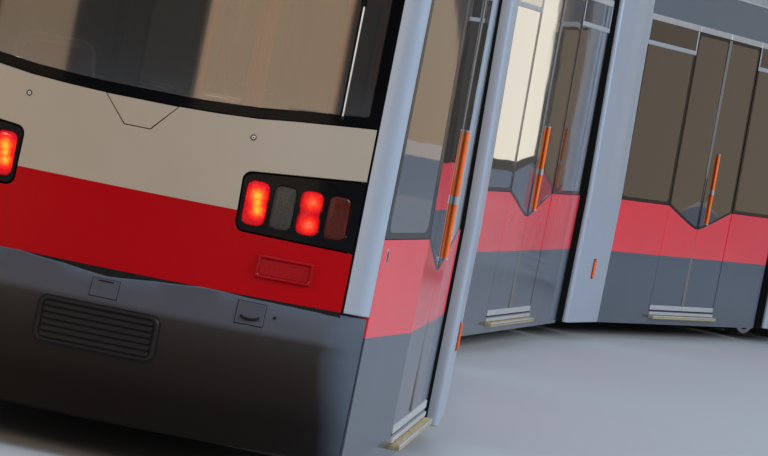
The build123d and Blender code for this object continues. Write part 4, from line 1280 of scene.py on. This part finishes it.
def bellows(i):
    """folded hoops between the portal and both neighbours"""
    unit = f"portal_{i}"
    b = BEND[i - 1]
    cars = {1: ("rear_car", "second_car"), 2: ("second_car", "middle_car"), 3: ("middle_car", "fourth_car"), 4: ("fourth_car", "front_car")}[i]
    path = [(W - .05, .175), (W - .05, .5), (W - .05, ZRT), (W - .062, 1.6), (W - .075, 2.2), (XE - .050, ZEAVE), (XE - .058, ZEAVE + .06), (XE - .075, ZEAVE + .115),
            (XE - .115, ZEAVE + .165), (XE - .17, ZROOF - .095), (XE - .26, ZROOF - .070), (XE - .45, ZROOF - .058), (0, ZROOF - .050)]
    path = both(path)
    n = len(path)
    normals = []
    for j in range(n):
        a, c = Vector(path[max(j - 1, 0)]), Vector(path[min(j + 1, n - 1)])
        d = (c - a).normalized()
        normals.append(Vector((-d.y, d.x)))          # towards the inside
    for q, car in ((-1, cars[0]), (1, cars[1])):
        P = Piece(f"{unit}_bellows_{'rear' if q < 0 else 'front'}")
        folds = 7
        steps_ = folds * 4
        rel = radians(-b / 2 if q > 0 else b / 2)
        hinge = Vector((0, q * H, 0))
        rings = []
        for k in range(steps_ + 1):
            t = k / steps_
            ph = t * folds * 2 * pi
            d = .014 * (1 - cos(ph)) + (.006 if 0 < k < steps_ else 0)
            ring = []
            for (x, z), nn in zip(path, normals):
                px, pz = x + nn.x * d, z + nn.y * d
                p0 = Vector((px, q * (C + .003), pz))
                e = Matrix.Rotation(rel, 3, "Z") @ (Vector((px, q * (A - .004), pz)) - hinge) + hinge
                ring.append(p0.lerp(e, t))
            rings.append(ring)
        # cloth thickness: back along the inside
        inner = []
        for k in range(steps_, -1, -1):
            t = k / steps_
            ring = []
            for j, nn in enumerate(normals):
                p = rings[k][j]
                ring.append(Vector((p.x + nn.x * .004, p.y, p.z + nn.y * .004)))
            inner.append(ring)
        allr = rings + inner
        k2 = len(allr)
        verts = [tuple(p) for r in allr for p in r]
        faces = []
        for a in range(k2):
            c = (a + 1) % k2
            for j in range(n - 1):
                faces.append([a * n + j, a * n + j + 1, c * n + j + 1, c * n + j])
        faces.append([a * n for a in range(k2)])
        faces.append([a * n + n - 1 for a in range(k2)][::-1])
        P.add(verts, faces, "gaiter")
        ob = P.build(unit, (unit + "_gaiter",), sharp=60, ride=False)
        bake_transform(ob)


def wheels(i):
    xg = GAUGE / 2
    for side, s in (("right", 1), ("left", -1)):
        P = Piece(f"wheel_{i}_{side}_turned")
        prof = [(-.0315, .066), (-.0315, .14), (-.026, .16), (-.022, .285), (-.030, .300), (-.030, R_FLANGE - .014), (-.027, R_FLANGE - .005), (-.021, R_FLANGE - .0005), (-.014, R_FLANGE - .002), (-.008, R_FLANGE - .008),
                (-.003, R_TREAD + .008), (.004, R_TREAD + .001), (.05, R_TREAD - .001), (.088, R_TREAD - .003), (.0935, R_TREAD - .008), (.0935, .302), (.088, .296), (.070, .292), (.066, .285)]
        lathe(P, "tyre", prof[4:] + [(.0, .285)], (s * xg, 0, 0), (s, 0, 0), 64)
        web = [(-.020, .286), (-.018, .16), (-.0315, .13), (-.0315, .066), (.040, .060), (.088, .060), (.0885, .095), (.080, .105), (.055, .112), (.046, .16), (.048, .27), (.058, .288)]
        lathe(P, "cast", web, (s * xg, 0, 0), (s, 0, 0), 48)
        lathe(P, "cast", [(.04, .058), (.088, .058), (.090, .050), (.090, .0)], (s * xg, 0, 0), (s, 0, 0), 24)
        for k in range(8):
            a = 2 * pi * k / 8
            lathe(P, "steel", [(.078, .012), (.0895, .012), (.0895, .0)], (s * xg, .078 * cos(a), .078 * sin(a)), (s, 0, 0), 6)
        P.build(f"portal_{i}", (f"wheel_{i}_{side}",), body=f"wheel_{i}_{side}", local=Matrix.Translation((0, 0, RAIL + R_TREAD)), sharp=35)


# ================= roof equipment =================
def roof_unit(car):
    P = Piece(car + "_roof_case")
    z0, z1 = ZROOF + .006, ZTOP
    x = .855
    for k, (a, b) in enumerate(((-1.70, -.60), (-.59, .55), (.56, 1.70))):
        rings = []
        for z, dx in ((z0 + .02, 0.0), (z1 - .10, 0), (z1 - .085, .004), (z1 - .012, .078), (z1 - .002, .10), (z1, .12)):
            e = .012
            X, ya, yb = x - dx, a + dx * .55, b - dx * .55
            rings.append([(X - e, ya, z), (X, ya + e, z), (X, yb - e, z), (X - e, yb, z), (-X + e, yb, z), (-X, yb - e, z), (-X, ya + e, z), (-X + e, ya, z)])
        loft(P, "fairing", rings)
        for s in (1, -1):
            n = 9
            for j in range(n):
                y = a + .10 + (b - a - .2) * j / (n - 1)
                rbox(P, "dark", s * (x - .012), s * (x + .004), y - .035, y + .035, z0 + .055, z1 - .125, .004)
                rbox(P, "fairing", s * (x - .006), s * (x + .005), y - .004, y + .004, z0 + .050, z1 - .120, .002)
            for j in range(3):
                y = a + .2 + (b - a - .4) * j / 2
                lathe(P, "dark", [(-.004, .016), (-.001, .016), (.0, .010)], (s * (x - .20), y, z1), (0, 0, 1), 12)
        rbox(P, "dark", -.34, .34, a + .22, b - .22, z1 - .002, z1 - .0005, .0005)
        if k == 1:
            for c in (-.28, .28):
                lathe(P, "fairing", [(.006, .19), (.002, .19), (.0, .186), (.0, .172), (.004, .168)], (0, (a + b) / 2 + c, z1), (0, 0, -1), 32)
                lathe(P, "dark", [(.006, .168), (.0035, .168)], (0, (a + b) / 2 + c, z1), (0, 0, -1), 32)
    for y in (-1.6, -.6, .55, 1.6):
        rbox(P, "dark", -.84, .84, y - .03, y + .03, z0, z0 + .03, .004)
    P.build(car, (car + "_roof_unit",), sharp=30)


def pantograph():
    """bolts and springs on the base, wear strips on the head"""
    zb, zu, yl = ZROOF + .060, ZROOF + .182, -.900
    P = Piece("pantograph_fittings")
    for x in (-.435, .435):
        for y in (-1.0, -.42, -.05, .44):
            lathe(P, "steel", [(-.002, .020), (.002, .020), (.0025, .014), (.012, .014), (.014, .011)], (x, y, zb), (0, 0, 1), 6)
        rbox(P, "dark", x - .035, x + .035, -.34, -.16, zb - .004, zb + .012, .004)
    for x in (-.14, .14):
        pts = []
        n = 24
        for k in range(n * 10 + 1):
            a = 2 * pi * k / 10
            pts.append(Vector((x + .024 * cos(a), -.70 + .62 * k / (n * 10), ZROOF + .050 + .024 * sin(a))))
        tube(P, "steel", pts, .0045, 6, 0)
        for y in (-.72, -.06):
            lathe(P, "dark", [(0, .030), (.012, .030), (.014, .026)], (x, y, ZROOF + .050), (0, 1, 0), 16)
        tube(P, "steel", [(x, -.06, ZROOF + .050), (x, .40, ZROOF + .050)], .007, 8)
        tube(P, "steel", [(x, -.80, ZROOF + .050), (x, -.70, ZROOF + .050)], .007, 8)
    P.build("middle_car", sharp=35)
    P = Piece("pantograph_wear_strips")
    for y in (yl - .145, yl + .145):
        for k in range(4):
            a = -.540 + k * .27
            rbox(P, "carbon", a + .0015, a + .2685, y - .0185, y + .0185, zu + .051, zu + .0635, .003)
        rbox(P, "alu", -.548, .548, y - .0215, y + .0215, zu + .046, zu + .0535, .002)
    P.build("middle_car", body="pantograph_head", sharp=35)


# ================= build all =================
for car in ("second_car", "middle_car", "fourth_car"):
    middle(car)
end("rear_car", False)
end("front_car", True)
for i in (1, 2, 3, 4):
    portal(i)
for car in ("second_car", "fourth_car"):
    roof_unit(car)
for n in ("pantograph_base", "pantograph_lower_arm", "pantograph_upper_arm", "pantograph_head"):
    dress(n, "panto" if n != "pantograph_base" else "dark")
pantograph()


# ================= stage and light =================
def stage():
    me = bpy.data.meshes.new("floor_plane")
    me.from_pydata([(-90, -90, 0), (90, -90, 0), (90, 90, 0), (-90, 90, 0)], [], [(0, 1, 2, 3)])
    ob = bpy.data.objects.new("floor_plane", me)
    bpy.context.scene.collection.objects.link(ob)
    g = Graph("stage_floor")
    g.bsdf(Base_Color=(.40, .41, .42), Roughness=.75)
    me.materials.append(g.m)
    w = bpy.data.worlds.new("studio")
    bpy.context.scene.world = w
    w.use_nodes = True
    t = w.node_tree
    bg = t.nodes["Background"]
    tc = t.nodes.new("ShaderNodeTexCoord")
    sp = t.nodes.new("ShaderNodeSeparateXYZ")
    t.links.new(tc.outputs["Generated"], sp.inputs[0])
    mr = t.nodes.new("ShaderNodeMapRange")
    t.links.new(sp.outputs[2], mr.inputs["Value"])
    mr.inputs["From Min"].default_value = -.2
    mr.inputs["From Max"].default_value = 1.0
    cr = t.nodes.new("ShaderNodeValToRGB")
    t.links.new(mr.outputs[0], cr.inputs[0])
    e = cr.color_ramp.elements
    stops = ((-.2, (.20, .19, .18)), (-.01, (.12, .115, .11)), (.06, (.11, .115, .125)), (.18, (.26, .29, .34)), (.45, (.46, .54, .68)), (1.0, (.52, .62, .80)))
    while len(e) < len(stops):
        e.new(.5)
    for k, (z, c) in zip(e, stops):
        k.position = (z + .2) / 1.2
        k.color = (*c, 1)
    t.links.new(cr.outputs[0], bg.inputs["Color"])
    bg.inputs["Strength"].default_value = 1.0


def area_light(name, at, to, size, power, colour, size_y=None, roll=0.0):
    ld = bpy.data.lights.new(name, "AREA")
    ld.shape = "RECTANGLE"
    ld.size, ld.size_y = size, size_y or size
    ld.energy = power
    ld.color = colour
    ob = bpy.data.objects.new(name, ld)
    bpy.context.scene.collection.objects.link(ob)
    ob.location = at
    ob.rotation_euler = ((Vector(to) - Vector(at)).to_track_quat("-Z", "Y").to_matrix() @ Matrix.Rotation(radians(roll), 3, "Z")).to_euler()
    ob.visible_camera = False
    return ob


def cards(name, centre, side, radius, boxes):
    """broad upright soft boxes standing on an arc round centre, in the rear section's axes. side is the direction of zero degrees"""
    for i, (a, w, z0, z1, col, rad) in enumerate(boxes):
        wm = radius * radians(w)
        x, y = centre[0] + radius * sin(radians(a)), centre[1] + side * radius * cos(radians(a))
        at = MAT["rear_car"] @ Vector((x, y, (z0 + z1) / 2))
        to = MAT["rear_car"] @ Vector((centre[0], centre[1], (z0 + z1) / 2))
        area_light(f"{name}_{i}", at, to, wm, 4 * wm * (z1 - z0) * rad, col, z1 - z0)


stage()
bpy.context.scene.view_settings.view_transform = "Standard"
area_light("sky_right", (26, -8, 15), (0, -4, 1.2), 20, 7200, (.90, .95, 1.0), 12)
area_light("sky_left", (-20, 4, 12), (0, 0, 1.2), 18, 2600, (.95, .97, 1.0), 8)
area_light("warm_back", (-16, -32, 9), (0, -11, 1.4), 8, 2600, (1.0, .72, .44), 5)
BEIGE, CREAM = (1.0, .72, .46), (1.0, .92, .78)
cards("back", (0, -3.6), -1, 24, [(-36, 18, .2, 7, BEIGE, .62), (18, 32, .2, 7, BEIGE, .98)])
cards("side", (1.1, 5.0), 1, 38, [(3.5, 4.5, .8, 7, CREAM, .50), (14.0, 5.0, .9, 7, CREAM, 1.0), (20.8, 4.0, .6, 6, BEIGE, .28), (28.0, 6.0, .7, 5, BEIGE, .17)])
